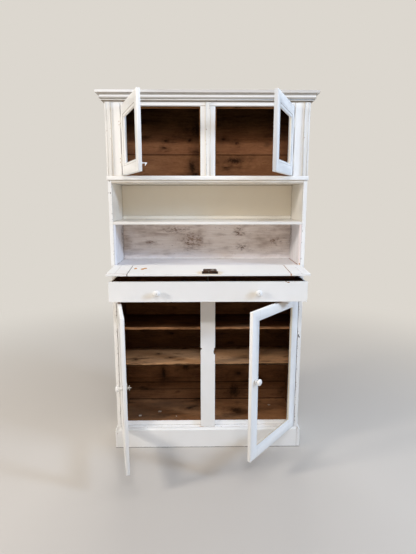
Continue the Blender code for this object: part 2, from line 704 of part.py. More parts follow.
def make_flap(root):
    """Fall flap lying open from the front plane: panel, two boarded ends and a box lock."""
    axis = empty("flap_axis", (0.0, -FIT, FLAP_AXIS_Z), root, (FLAP_DROOP, 0.0, 0.0))
    end = INNER + FLAP_OVERLAP
    panel = board("flap_panel", (-end + FLAP_LEFT_END + FIT, -FLAP_DEPTH, -FLAP_THICK),
                  (end - FLAP_RIGHT_END - FIT, -FLAP_HEEL, 0.0), axis, WHITE)
    boxes = []
    for side, sign, width in (("left", -1, FLAP_LEFT_END), ("right", 1, FLAP_RIGHT_END)):
        joint = end - width
        ends = sorted((sign * joint, sign * end))
        cleat = board("flap_end_" + side, (ends[0], -FLAP_DEPTH, -FLAP_THICK),
                      (ends[1], -FLAP_HEEL, 0.0), axis, WHITE)
        line = sign * (end - FLAP_CLEAT)
        groove = cutter("flap_line_" + side, [((line - FLAP_LINE / 2, -FLAP_DEPTH - OVERSHOOT, -FLAP_LINE),
                                               (line + FLAP_LINE / 2, OVERSHOOT, OVERSHOOT))], axis)
        boolean(cleat, groove)
        shrunk = sorted((sign * (joint - FLAP_GAP), sign * (joint + OVERSHOOT)))
        boxes.append(((shrunk[0], -FLAP_DEPTH - OVERSHOOT, FLAP_TONGUE - FLAP_THICK),
                      (shrunk[1], OVERSHOOT, OVERSHOOT)))
    boolean(panel, cutter("flap_gaps", boxes, axis))
    front = -FLAP_DEPTH + EDGE
    lock = board("flap_lock", (LOCK_X - LOCK_WIDTH / 2, front, FIT),
                 (LOCK_X + LOCK_WIDTH / 2, front + LOCK_DEPTH, LOCK_HEIGHT), axis, IRON)
    selvedge_low = (LOCK_X - SELVEDGE_WIDTH / 2, front, FIT)
    selvedge_high = (LOCK_X + SELVEDGE_WIDTH / 2, front + SELVEDGE_THICK, LOCK_HEIGHT - EDGE)
    boolean(lock, cutter("lock_selvedge", [(selvedge_low, selvedge_high)], axis), "UNION")


def make_drawer(root):
    """Wide drawer with one divider, pulled part way out over the dust board."""
    axis = empty("drawer_axis", (0.0, -DRAWER_OUT, DUST_BOARD_TOP + FIT), root)
    end = INNER - DRAWER_PLAY
    outer = end - DRAWER_SIDE_INSET
    inner = outer - DRAWER_SIDE_THICK
    behind = DRAWER_FRONT_THICK + FIT
    rear = DRAWER_DEPTH - DRAWER_BACK_THICK
    side_top = DRAWER_HEIGHT - DRAWER_SIDE_DROP
    base_top = DRAWER_BOTTOM_LIFT + DRAWER_BOTTOM_THICK
    board("drawer_front", (-end, 0.0, 0.0), (end, DRAWER_FRONT_THICK, DRAWER_HEIGHT), axis, WHITE)
    for side, sign in (("left", -1), ("right", 1)):
        ends = sorted((sign * inner, sign * outer))
        board("drawer_side_" + side, (ends[0], behind, 0.0), (ends[1], DRAWER_DEPTH, side_top), axis, BROWN)
        place = (DRAWER_KNOB_SHIFT + sign * DRAWER_KNOB_X, 0.0, DRAWER_HEIGHT / 2 - DRAWER_KNOB_DROP)
        turned("drawer_knob_" + side, knob_profile(DRAWER_KNOB_LENGTH, 0.0), axis, WHITE, place,
               (math.radians(90.0), 0.0, 0.0))
    clear = inner - FIT
    board("drawer_bottom", (-clear, behind, DRAWER_BOTTOM_LIFT),
          (clear, DRAWER_DEPTH, base_top), axis, BROWN)
    board("drawer_back", (-clear, rear, base_top + FIT), (clear, DRAWER_DEPTH, side_top), axis, BROWN)
    board("drawer_divider", (-DIVIDER_THICK / 2, behind, base_top + FIT),
          (DIVIDER_THICK / 2, rear - FIT, DRAWER_HEIGHT - DIVIDER_DROP), axis, BROWN)


def main():
    root = empty("cabinet_root", (0.0, FRONT_Y, 0.0))
    make_sides(root)
    make_housed_boards(root)
    make_back(root)
    make_face_frame(root)
    make_mouldings(root)
    make_doors(root)
    make_flap(root)
    make_drawer(root)


main()
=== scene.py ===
import json
import math

import bmesh
import bpy
from mathutils import Matrix, Vector


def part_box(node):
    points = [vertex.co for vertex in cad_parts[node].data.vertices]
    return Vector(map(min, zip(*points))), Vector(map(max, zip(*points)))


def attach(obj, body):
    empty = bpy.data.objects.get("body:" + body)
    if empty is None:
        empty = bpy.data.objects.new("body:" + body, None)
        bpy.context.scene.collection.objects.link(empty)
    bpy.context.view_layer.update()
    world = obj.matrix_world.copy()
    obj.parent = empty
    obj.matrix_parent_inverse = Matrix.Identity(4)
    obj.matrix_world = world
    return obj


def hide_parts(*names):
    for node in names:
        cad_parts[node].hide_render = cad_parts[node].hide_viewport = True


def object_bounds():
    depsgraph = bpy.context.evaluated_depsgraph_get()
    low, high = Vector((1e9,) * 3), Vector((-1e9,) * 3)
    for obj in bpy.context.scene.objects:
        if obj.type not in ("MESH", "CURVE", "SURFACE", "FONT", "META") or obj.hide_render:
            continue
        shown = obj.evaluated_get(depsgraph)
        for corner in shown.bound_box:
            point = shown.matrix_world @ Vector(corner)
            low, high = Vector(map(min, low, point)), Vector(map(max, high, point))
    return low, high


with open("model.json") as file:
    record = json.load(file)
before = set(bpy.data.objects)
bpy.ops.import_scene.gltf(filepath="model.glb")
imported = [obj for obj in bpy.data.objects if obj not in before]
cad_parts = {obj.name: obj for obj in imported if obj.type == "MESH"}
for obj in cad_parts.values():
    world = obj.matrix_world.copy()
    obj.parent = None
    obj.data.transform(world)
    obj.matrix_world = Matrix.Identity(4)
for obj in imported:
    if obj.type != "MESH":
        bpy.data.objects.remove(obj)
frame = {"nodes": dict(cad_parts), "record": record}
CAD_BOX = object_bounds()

# Looks of the painted bookcase cabinet: brushed oil paint aged at its joints, dark stained boards inside,
# a thin grey wash behind the flap, a rusty box lock and turned knobs, in plain studio light.

MM = 0.001

# Photograph's view
CAMERA_PLACE = (-0.0339, -2.3350, 1.4677)
CAMERA_PITCH = math.radians(10.588)
CAMERA_YAW = math.radians(0.852)
LENS_MM = 27.87
SENSOR_MM = 36.0

# Studio: pale floor that fades out between two distances in m, soft light all round, and lamps with
# their place, target, size in m, power in W and colour
BACKGROUND = "#DCD7CF"
FLOOR = "#C3BDB5"
FLOOR_RADIUS = 30.0
FLOOR_FADE = (1.0, 4.0)
WORLD_LIGHT = "#F4F5F8"
WORLD_STRENGTH = 0.12
LAMPS = [
    ("ceiling_softbox", (0.2, -3.0, 3.43), (0.0, 0.0, 1.0), (1.2, 0.25), 46.0, "#F4F7FF"),
    ("front_warm_fill", (0.0, -5.0, 1.2), (0.0, 0.0, 1.1), (3.0, 1.6), 19.0, "#FFE2BC"),
    ("overhead_softbox", (0.0, -1.1, 6.6), (0.0, -0.1, 0.9), (4.0, 2.4), 124.0, "#FFF9F4"),
    ("right_cool_softbox", (4.0, -1.8, 2.6), (0.0, 0.0, 1.0), (0.7, 0.7), 118.0, "#C0DCFF"),
    ("left_warm_softbox", (-4.0, -1.8, 2.6), (0.0, 0.0, 1.0), (0.7, 0.7), 110.0, "#FFF9F2"),
    ("rear_softbox", (0.0, 4.5, 6.5), (0.0, 0.3, 1.0), (3.0, 1.6), 150.0, "#FFFFFF"),
]

# Places that the finishes follow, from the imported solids
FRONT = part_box("side_left")[0][1]
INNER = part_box("niche_batten")[1][0]
TOP = CAD_BOX[1][2]
UPPER_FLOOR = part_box("upper_floor")
UPPER_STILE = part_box("upper_stile_right")
UPPER_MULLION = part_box("upper_mullion")
TOP_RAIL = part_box("top_rail")
NICHE_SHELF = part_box("niche_shelf")
NICHE_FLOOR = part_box("niche_floor")
BACK_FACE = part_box("back_middle")[0][1]
BACK_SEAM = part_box("back_upper")[0][2]
LOW_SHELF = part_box("low_shelf")
SHELF_FRONT = LOW_SHELF[0][1]
LOW_SHELF_FOOT = LOW_SHELF[0][2]
HIGH_SHELF_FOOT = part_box("high_shelf")[0][2]
FLAP_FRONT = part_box("flap_panel")[0][1]
FLAP_REAR_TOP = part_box("flap_panel")[1]
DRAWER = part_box("drawer_front")
DRAWER_SIDE_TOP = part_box("drawer_side_left")[1][2]
DIVIDER_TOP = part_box("drawer_divider")[1][2]

RECORD = frame["record"]
JOINTS = {joint["name"]: joint for joint in RECORD["behaviour"]["joints"]}
BODY_OF = {node: body for body, nodes in RECORD["behaviour"]["bodies"].items() for node in nodes}

# Doors in mm: width, height, stile, top and bottom rail; then the play at the pin
DOOR_SIZES = {"upper": (410.3, 349.0, 62.0, 64.0, 60.0), "lower": (467.5, 793.5, 66.0, 56.0, 64.0)}
DOOR_PLAY = 1.0 * MM
# Each door's painted shade in the quirk and on the inner rim, the rim also old cream; tone of the inner edge
# by the hinge, which paints the light and shade it stands in; and painted shade on the free edge
DOOR_SHADE_AND_TONES = [("upper_left", 0.75, 0.35, "#F6F7FA", 0.0), ("upper_right", 0.75, 0.35, "#F1E4D0", 0.7),
             ("lower_left", 0.10, 0.30, "#ECEAE6", 0.0), ("lower_right", 0.10, 0.90, "#D3C5AC", 0.0)]
FLAP_DROOP = math.radians(3.0)
LOCK_PLACE = 7.7 * MM

# Marks seen in the photograph, as (centre, half-widths in mm)
ANY = 1000.0
UPPER_KNOTS = [((-0.077, 0.31, 1.655), (14, ANY, 34)), ((0.180, 0.31, 1.690), (34, ANY, 14)),
               ((0.120, 0.31, 1.648), (12, ANY, 4)), ((-0.060, 0.31, 1.610), (16, ANY, 9))]
HIGH_KNOTS = [((-0.232, 0.31, 1.800), (9, ANY, 5)), ((-0.085, 0.31, 1.806), (10, ANY, 7)),
              ((0.105, 0.31, 1.814), (10, ANY, 5)), ((0.190, 0.31, 1.795), (10, ANY, 6)),
              ((-0.240, 0.31, 1.762), (12, ANY, 5)), ((-0.035, 0.31, 1.865), (30, ANY, 30))]
LOW_KNOTS = [((-0.214, 0.31, 0.622), (12, ANY, 8)), ((-0.270, 0.31, 0.346), (10, ANY, 30)),
             ((-0.125, 0.31, 0.400), (16, ANY, 20)), ((0.189, 0.31, 0.222), (26, ANY, 36)),
             ((0.215, 0.31, 0.350), (12, ANY, 12)), ((0.350, 0.31, 0.310), (9, ANY, 8))]
SHELF_KNOTS = [((-0.213, 0.132, 0.516), (9, 8, ANY)), ((-0.416, 0.095, 0.516), (10, 8, ANY)),
               ((-0.290, 0.200, 0.516), (7, 7, ANY)), ((0.300, 0.120, 0.516), (9, 9, ANY))]
FLOOR_KNOTS = [((-0.100, 0.190, 0.155), (16, 12, ANY)), ((0.191, 0.167, 0.155), (28, 24, ANY))]
FLOOR_FLECKS = [((-0.297, 0.140, 0.155), (10, 10, ANY)), ((-0.411, 0.090, 0.155), (9, 9, ANY)),
                ((-0.190, 0.080, 0.155), (4, 5, ANY)), ((0.395, 0.215, 0.155), (9, 5, ANY))]
# Patches of painted shade on the lower floor, at its left and back
FLOOR_SHADE_PATCHES = [((-0.400, 0.120, 0.155), (150, 120, ANY)), ((-0.250, 0.250, 0.155), (120, 50, ANY))]
WASH_RUBS = [((0.199, 0.30, 1.250), (26, ANY, 12)), ((0.214, 0.30, 1.160), (32, ANY, 16)),
             ((0.422, 0.30, 1.197), (26, ANY, 14)), ((-0.345, 0.30, 1.191), (20, ANY, 8)),
             ((-0.090, 0.30, 1.197), (46, ANY, 40)), ((-0.200, 0.30, 1.270), (55, ANY, 14)),
             ((0.190, 0.30, 1.268), (18, ANY, 9))]
WASH_THIN = [((-0.350, 0.30, 1.265), (170, ANY, 30)), ((0.420, 0.30, 1.215), (120, ANY, 70)),
             ((-0.100, 0.30, 1.215), (70, ANY, 50)), ((-0.490, 0.30, 1.190), (24, ANY, 90))]
SIDE_RUBS = [((-0.513, 0.270, 1.262), (12, 30, 50)), ((-0.513, 0.285, 1.180), (12, 14, 70)),
             ((0.513, 0.280, 1.240), (12, 18, 60))]
# Mortises in the lower mullion, darkened as painted shade
MULLION_NOTCHES = [((0.0390, 0.0, 0.592), (6, ANY, 15)), ((-0.0470, 0.0, 0.613), (4, ANY, 8))]
FLAP_BARE = [((-0.385, -0.082, 1.09), (8, 17, ANY)), ((-0.346, -0.096, 1.09), (10, 17, ANY)),
             ((-0.334, -0.080, 1.09), (10, 14, ANY))]
FLAP_RING = ((0.0077, -0.185, 1.09), (66, 44, ANY))
DRAWER_CHIPS = [((0.411, -0.185, 1.037), (7, 30, 2.6)), ((0.399, -0.185, 1.040), (3, 30, 1.5))]
DRAWER_STAINS = [((0.233, -0.185, 0.972), (22, 30, 20)), ((-0.303, -0.185, 0.960), (26, 30, 12))]
STILE_RUST = [((-0.461, 0.0, 1.852), (1.6, ANY, 3)), ((-0.461, 0.0, 1.836), (1.6, ANY, 3)),
              ((-0.4605, 0.0, 1.665), (1.6, ANY, 3)), ((-0.4605, 0.0, 1.648), (1.6, ANY, 3))]
SIDE_CHIPS = [((0.5186, 0.0, 0.687), (4, 14, 8)), ((0.5232, 0.0, 0.680), (4, 14, 6)),
              ((-0.533, 0.0, 1.488), (3, 12, 6)), ((-0.5206, 0.0, 1.488), (3, 12, 5)),
              ((-0.5235, 0.0, 1.5500), (3, 12, 3))]
STOP_CHIPS = [((0.507, 0.0, 1.102), (3, ANY, 4))]
RAIL_STAINS = [((-0.0376, 0.0, 0.127), (14, 12, 5))]
CORNICE_SPOT = ((0.0433, 0.0, 1.953), (3, ANY, 2))

# Lines and changes of finish in m: joints and seams along X, then heights and depths to start and end at
PLINTH_JOINT = 0.5263
STILE_SEAM = 0.5012
MULLION_SEAM = 0.0142
FLAP_JOINTS = (-0.4075, 0.4150)
CORNICE_CLEANER = (-0.42, -0.22)
RAIL_CRACK = (1.9409, 1.9421)
# Heights in m where the upper back's painted shadow begins and is full
UPPER_BACK_SHADOW = (1.77, 1.90)
# Heights in m where painted light on the lower niche's back begins and is full
LOWER_WASH_LIGHT = (1.175, 1.105)
# Depths in m where the shelves' painted shade towards the back begins and is full
SHELF_BACK_SHADE = (0.10, 0.29)
BROWN_LINE_START = 0.05
# The low shelf's front edge carries painted shade at its foot, up to a line that climbs to the right
EDGE_SHADE_FOOT = 9.0 * MM
EDGE_SHADE_SLOPE = 0.008
# Dust on the cornice's top fillet, painted shade with some grime in its cove, and painted shade along its
# undercut lines: from and to in mm under the top, share and colour
CORNICE_DUST_AND_SHADE = [(-1.0, 11.2, 0.70, "#B3ADA5"), (11.2, 22.3, 0.70, "#988F83"), (31.0, 38.0, 0.80, "#8D8375"),
                 (38.0, 41.5, 0.60, "#8D8375"), (45.5, 50.8, 0.85, "#86745C")]
# Height and half-width of the lower back's seams in mm
BACK_SEAMS = [(276.0, 2.6), (227.5, 1.8), (158.0, 3.0)]
# Lines of painted shade in a door's moulding, the rim also old cream, from and to in mm out from its opening
QUIRK, FILLET, RIM = (13.1, 14.9), (1.0, 4.0), (-ANY, 0.9)

GOLDEN_WOOD = ("#A9712F", "#CF9C58")
BROWN_WOOD = ("#5E3A1E", "#A8733C")
BRUSH_RELIEF = 0.35 * MM
# New pieces: points this near are one, and faces that meet at less than this angle are shaded smooth
WELD = 0.01 * MM
SMOOTH_UNDER = math.radians(32.0)


def linear(colour):
    """sRGB hex to linear RGBA."""
    channels = [int(colour[start:start + 2], 16) / 255 for start in (1, 3, 5)]
    return (*[c / 12.92 if c <= 0.04045 else ((c + 0.055) / 1.055) ** 2.4 for c in channels], 1.0)


def add(tree, kind, inputs=(), out=0, **settings):
    """Add a shader node, set and link its inputs, by socket or in order, and give one of its outputs."""
    node = tree.nodes.new("ShaderNode" + kind)
    for name, value in settings.items():
        setattr(node, name, value)
    by_socket = inputs if isinstance(inputs, dict) else dict(enumerate(inputs))
    for socket, value in by_socket.items():
        if isinstance(value, bpy.types.NodeSocket):
            tree.links.new(value, node.inputs[socket])
        else:
            node.inputs[socket].default_value = linear(value) if isinstance(value, str) else value
    return node.outputs[out]


def times(tree, *values):
    """Product of masks and shares."""
    result = values[0]
    for value in values[1:]:
        result = add(tree, "Math", [result, value], operation="MULTIPLY")
    return result


def either(tree, *masks):
    """The strongest of several masks."""
    result = masks[0]
    for mask in masks[1:]:
        result = add(tree, "Math", [result, mask], operation="MAXIMUM")
    return result


def weighed(tree, *patterns):
    """Sum of patterns, each with its weight."""
    result = times(tree, *patterns[0])
    for pattern in patterns[1:]:
        result = add(tree, "Math", [result, times(tree, *pattern)], operation="ADD")
    return result


def coats(tree, colour, *layers):
    """Coats of colour one over another, each a colour with the masks and shares that thin it."""
    for coat, *masks in layers:
        colour = add(tree, "Mix", {0: times(tree, *masks), 6: colour, 7: coat}, 2, data_type="RGBA")
    return colour


def cloud(tree, where, size, detail=3.0, low=0.35, high=0.65, along=None, width=None, seed=0.0):
    """Soft noise of a real size, pulled out along an axis where one is given, spread to 0 to 1."""
    scale = 1 / size
    if along:
        stretch = [1 / width] * 3
        stretch["xyz".index(along)] = 1 / size
        where = add(tree, "VectorMath", [where, stretch], operation="MULTIPLY")
        scale = 1.0
    noise = add(tree, "TexNoise", {"Vector": where, "W": seed, "Scale": scale, "Detail": detail},
                noise_dimensions="4D")
    return add(tree, "MapRange", [noise, low, high])


def wander(tree, where, size, amount):
    """A number that drifts between plus and minus an amount."""
    noise = add(tree, "TexNoise", {"Vector": where, "Scale": 1 / size, "Detail": 4.0})
    return times(tree, add(tree, "Math", [noise, 0.5], operation="SUBTRACT"), 2 * amount)


def past(tree, where, axis, limit, ragged=0.0):
    """1 where a coordinate is past a limit, with an edge as ragged as a brush leaves it."""
    value = add(tree, "SeparateXYZ", [where], "xyz".index(axis))
    if ragged:
        value = add(tree, "Math", [value, wander(tree, where, 12 * MM, ragged)], operation="ADD")
    return add(tree, "Math", [value, limit], operation="GREATER_THAN")


def short(tree, where, axis, limit, ragged=0.0):
    """1 where a coordinate is short of a limit."""
    beyond = past(tree, where, axis, limit, ragged)
    return add(tree, "Math", [1.0, beyond], operation="SUBTRACT")


def band(tree, value, low, high, soft=0.3 * MM):
    """1 where a number lies between two limits."""
    rise = add(tree, "MapRange", [value, low - soft, low + soft])
    fall = add(tree, "MapRange", [value, high + soft, high - soft])
    return times(tree, rise, fall)


def patch(tree, where, centre, size, ragged=0.5, soft=0.06, grain=5.0):
    """A ragged patch round a point; size gives its half-widths along X, Y and Z in mm."""
    moved = add(tree, "VectorMath", [where, centre], operation="SUBTRACT")
    scale = [1 / (half * MM) for half in size]
    reach = add(tree, "VectorMath", [moved, scale], operation="MULTIPLY")
    reach = add(tree, "VectorMath", [reach], "Value", operation="LENGTH")
    reach = add(tree, "Math", [reach, wander(tree, where, grain * MM, ragged)], operation="ADD")
    return add(tree, "MapRange", [reach, 1 + soft, 1 - soft])


def patches(tree, where, spots, **settings):
    """Several ragged patches."""
    return either(tree, *[patch(tree, where, centre, size, **settings) for centre, size in spots])


def worn_edges(tree, where, width, amount):
    """Chips along the arrises: 1 where the edge is worn through."""
    rounded = add(tree, "Bevel", {"Radius": width}, samples=4)
    normal = add(tree, "NewGeometry", out="Normal")
    agree = add(tree, "VectorMath", [rounded, normal], "Value", operation="DOT_PRODUCT")
    edge = add(tree, "MapRange", [agree, 0.99, 0.80])
    chips = cloud(tree, where, 14 * MM, 5.0, 0.62 - 0.10 * amount, 0.68 - 0.10 * amount)
    return add(tree, "Math", [times(tree, edge, chips), 0.35], operation="GREATER_THAN")


def crevice(tree, distance):
    """1 in corners and joints, 0 in the open."""
    shade = add(tree, "AmbientOcclusion", {"Distance": distance}, "AO", samples=6)
    return add(tree, "MapRange", [shade, 0.72, 0.30])


def over(tree, under, top, *masks):
    """One look laid over another where the masks hold."""
    share = times(tree, *masks)
    rest = [add(tree, "MapRange", {0: share, 3: low, 4: high}) for low, high in zip(under[1:], top[1:])]
    return (coats(tree, under[0], (top[0], share)), *rest)


def tint(tree, look, colour, *masks):
    """A look with one more coat of colour over it."""
    return (coats(tree, look[0], (colour, *masks)), *look[1:])


# Looks: each gives colour, roughness, relief and gloss

def oil_paint(tree, where, along, white="#F0EFEC", aged="#E2D9C8", dirt="#8F8270", wear=0.2, bare=None,
              wood=BROWN_WOOD):
    """Off-white oil paint laid on by brush: faint strokes along the wood, dark joints, chipped arrises."""
    # Bristle marks are too fine to show, so they are drawn 1.6 mm wide
    strokes = cloud(tree, where, 90 * MM, 4.0, 0.25, 0.75, along, 1.6 * MM)
    grain = cloud(tree, where, 260 * MM, 3.0, 0.30, 0.70, along, 9 * MM, 3.0)
    clouds = cloud(tree, where, 180 * MM, 3.0, 0.48, 0.80, seed=7.0)
    specks = cloud(tree, where, 3.2 * MM, 2.0, 0.765, 0.79, seed=11.0)
    grime = cloud(tree, where, 60 * MM, 4.0, 0.15, 0.45, seed=17.0)
    colour = coats(tree, white, (aged, clouds, 0.18), ("#D6D1C8", strokes, 0.06), ("#94785A", specks, 0.45),
                   (dirt, crevice(tree, 8 * MM), grime, 0.75))
    rough = add(tree, "MapRange", {0: strokes, 3: 0.36, 4: 0.50})
    look = (colour, rough, weighed(tree, (strokes, 0.3), (grain, 0.7)), 0.5)
    chips = [bare] if bare is not None else []
    if wear:
        chips.append(worn_edges(tree, where, 2.5 * MM, wear))
    if not chips:
        return look
    return over(tree, look, (coats(tree, wood[0], (wood[1], grain)), 0.75, 0.0, 0.1), either(tree, *chips))


def stained_boards(tree, where, along, tone="#5C3724", knots=()):
    """Old pine boards with a dark stain: long grain, cloudy wear, knots, and little gloss left."""
    drift = add(tree, "TexNoise", {"Vector": where, "Scale": 1 / (150 * MM), "Detail": 2.0}, "Color")
    drift = add(tree, "VectorMath", [drift, (24 * MM,) * 3], operation="MULTIPLY")
    where = add(tree, "VectorMath", [where, drift], operation="ADD")
    grain = cloud(tree, where, 180 * MM, 6.0, 0.28, 0.72, along, 5 * MM)
    fine = cloud(tree, where, 45 * MM, 3.0, 0.30, 0.70, along, 1.1 * MM, 2.0)
    wear = cloud(tree, where, 150 * MM, 5.0, 0.34, 0.68, along, 50 * MM, 5.0)
    flecks = cloud(tree, where, 16 * MM, 4.0, 0.30, 0.70, along, 5 * MM, 27.0)
    stains = cloud(tree, where, 110 * MM, 5.0, 0.57, 0.72, along, 45 * MM, 9.0)
    deep = coats(tree, tone, ("#1B0D06", 0.65))
    pale = coats(tree, tone, ("#D69E66", 0.30))
    share = weighed(tree, (grain, 0.35), (wear, 0.45), (flecks, 0.20))
    colour = coats(tree, deep, (pale, share), (deep, fine, 0.30), ("#1B0D06", stains, 0.75))
    if knots:
        wide = [(centre, [2.4 * half for half in size]) for centre, size in knots]
        halo = patches(tree, where, wide, ragged=1.5, soft=0.9, grain=30.0)
        eye = patches(tree, where, knots, ragged=1.3, soft=0.6, grain=12.0)
        colour = coats(tree, colour, ("#22110A", halo, 0.50), ("#150B07", eye, 0.75))
    rough = add(tree, "MapRange", {0: wear, 3: 0.55, 4: 0.75})
    return colour, rough, weighed(tree, (grain, 0.7), (fine, 0.3)), 0.02


def grey_wash(tree, where, along, pale, shade, smear, rubbed=()):
    """Thin grey-white wash brushed over brown boards, rubbed through in patches and round the knots."""
    strokes = cloud(tree, where, 110 * MM, 4.0, 0.30, 0.70, along, 3 * MM, 4.0)
    smears = cloud(tree, where, 100 * MM, 5.0, 0.50, 0.74, along, 30 * MM, 6.0)
    flecks = cloud(tree, where, 10 * MM, 4.0, 0.63, 0.70, along, 5 * MM, 13.0)
    grime = cloud(tree, where, 80 * MM, 4.0, 0.20, 0.50, seed=19.0)
    brown = coats(tree, "#8E6F58", ("#6E4E39", strokes))
    colour = coats(tree, pale, (shade, strokes), (brown, smears, smear), ("#6A4730", flecks, smear),
                   ("#6A4A33", crevice(tree, 10 * MM), grime, 0.80))
    if rubbed:
        worn = patches(tree, where, rubbed, ragged=1.6, soft=0.9, grain=30.0)
        speckle = cloud(tree, where, 13 * MM, 6.0, 0.50, 0.57, along, 6 * MM, 23.0)
        flakes = cloud(tree, where, 9 * MM, 4.0, 0.62, 0.66, seed=47.0)
        colour = coats(tree, colour, ("#8A6448", worn, 0.25), ("#63401F", worn, speckle, 0.90),
                       (pale, worn, flakes, 0.80))
    return colour, add(tree, "MapRange", {0: smears, 3: 0.50, 4: 0.70}), strokes, 0.12


def rusty_iron(tree, where):
    """Old iron, rusted brown and pitted, with rests of white paint."""
    rust = cloud(tree, where, 8 * MM, 5.0, 0.40, 0.62)
    paint = cloud(tree, where, 13 * MM, 4.0, 0.62, 0.66, seed=5.0)
    colour = coats(tree, "#20160F", ("#4E321F", rust), ("#D5CEC3", paint))
    return colour, add(tree, "MapRange", {0: rust, 3: 0.45, 4: 0.85}), rust, 0.5


def painted_iron(tree, where):
    """Hinges painted over with the doors: white, with rust coming through."""
    rust = cloud(tree, where, 9 * MM, 5.0, 0.58, 0.66, seed=3.0)
    colour = coats(tree, "#E6E2DA", ("#8A6A48", rust))
    return colour, add(tree, "MapRange", {0: rust, 3: 0.42, 4: 0.80}), rust, 0.5


def dull_steel(tree, where):
    """Bare latch steel: pale grey, scratched and dull."""
    scratches = cloud(tree, where, 25 * MM, 4.0, 0.35, 0.65, "x", 1 * MM)
    colour = coats(tree, "#A29B91", ("#CBC4B9", scratches))
    return colour, add(tree, "MapRange", {0: scratches, 3: 0.40, 4: 0.60}), scratches, 0.5


# Looks that change over one piece

def cornice_look(tree, where, along):
    """Cornice: dust on the fillet, painted shade with some grime in the cove, and painted shade along the
    undercut lines.
    """
    made = oil_paint(tree, where, along, wear=0.0)
    x, _, z = add(tree, "SeparateXYZ", [where]).node.outputs
    dusty = add(tree, "MapRange", [x, *CORNICE_CLEANER, 0.2])
    under = add(tree, "Math", [TOP, z], operation="SUBTRACT")
    # Dust on the top fillet; painted shade in the cove and under the undercuts
    for start, end, share, colour in CORNICE_DUST_AND_SHADE:
        line = band(tree, under, start * MM, end * MM, 0.8 * MM)
        if start < 0:
            line = times(tree, line, dusty)
        made = tint(tree, made, colour, line, share)
    return tint(tree, made, "#4A3A2A", patch(tree, where, *CORNICE_SPOT), 0.8)


def frame_look(tree, where, along, seam=None, rust=()):
    """Face frame painted on its front and reveals and bare behind, with old paint yellow at its seams."""
    made = oil_paint(tree, where, along, dirt="#D2C7B3")
    if seam:
        away = add(tree, "Math", [add(tree, "SeparateXYZ", [where])], operation="ABSOLUTE")
        line = band(tree, away, seam - 1.3 * MM, seam + 1.3 * MM)
        made = tint(tree, made, "#D8C49B", line, cloud(tree, where, 70 * MM, 3.0, 0.3, 0.6), 0.7)
    if rust:
        made = tint(tree, made, "#A5764A", patches(tree, where, rust), 0.9)
    behind = past(tree, where, "y", FRONT + 19 * MM, 1 * MM)
    return over(tree, made, stained_boards(tree, where, along), behind)


def top_rail_look(tree, where):
    """Top rail: a hairline crack along it."""
    crack = band(tree, add(tree, "SeparateXYZ", [where], "Z"), *RAIL_CRACK)
    return tint(tree, frame_look(tree, where, "x"), "#B9B1A5", crack, 0.5)


def lower_mullion_look(tree, where):
    """Lower mullion: its mortises for the door catches painted near black, as painted shade over their bare
    wood.
    """
    notches = patches(tree, where, MULLION_NOTCHES, ragged=0.25)
    # Painted shade in the mortises
    return tint(tree, frame_look(tree, where, "z"), "#150B06", notches, 0.95)


def bottom_rail_look(tree, where):
    """Bottom rail: one brown stain under the mullion."""
    # The rail's white is lighter than the other paint, as painted light on the lit ledge
    made = oil_paint(tree, where, "x", "#FAF8F5", "#EFE9DC")
    return tint(tree, made, "#C08A4E", patches(tree, where, RAIL_STAINS, soft=0.4), 0.8)


def plinth_look(tree, where, along, joint=None):
    """Plinth: a painted contact shadow along the foot and, on the front, an old joint near the right end."""
    made = oil_paint(tree, where, along)
    # Painted contact shadow along the foot
    made = tint(tree, made, "#5A5046", short(tree, where, "z", 4 * MM, 2 * MM), 0.75)
    if joint:
        line = band(tree, add(tree, "SeparateXYZ", [where]), joint - 0.8 * MM, joint + 0.8 * MM)
        made = tint(tree, made, "#8A6E50", line, 0.7)
    return made


def right_stop_look(tree, where):
    """Right flap stop: pinkish white, a painted tint of the warm light it faces, with a chip down to golden
    wood.
    """
    return oil_paint(tree, where, "z", "#E9DAD4", bare=patches(tree, where, STOP_CHIPS), wood=GOLDEN_WOOD)


def side_look(tree, where):
    """Sides: painted outside and in front, cream in the upper niche, washed in the lower one, else bare."""
    made = tint(tree, oil_paint(tree, where, "z"), "#33251B", patches(tree, where, SIDE_CHIPS), 0.9)
    away = add(tree, "Math", [add(tree, "SeparateXYZ", [where])], operation="ABSOLUTE")
    flakes = times(tree, cloud(tree, where, 8 * MM, 3.0, 0.60, 0.63, seed=51.0),
                   band(tree, away, INNER + 1 * MM, INNER + 5 * MM), short(tree, where, "y", FRONT + 3 * MM))
    made = tint(tree, made, "#6E5B48", flakes, 0.75)
    inside = times(tree, add(tree, "Math", [away, INNER + 3 * MM], operation="LESS_THAN"),
                   past(tree, where, "y", FRONT + 20 * MM, 1 * MM))
    above = past(tree, where, "z", NICHE_FLOOR[0][2])
    niches = times(tree, above, short(tree, where, "z", UPPER_FLOOR[1][2]))
    low = times(tree, above, short(tree, where, "z", NICHE_SHELF[0][2]))
    elsewhere = add(tree, "Math", [1.0, niches], operation="SUBTRACT")
    # The upper niche's cream, its own paint, lifted to near white as painted light
    made = over(tree, made, oil_paint(tree, where, "z", "#FFFBF3", "#F4ECDD"), inside, niches)
    made = over(tree, made, grey_wash(tree, where, "z", "#F1F0F2", "#E6E2E0", 0.20, SIDE_RUBS), inside, low)
    return over(tree, made, stained_boards(tree, where, "z"), inside, elsewhere)


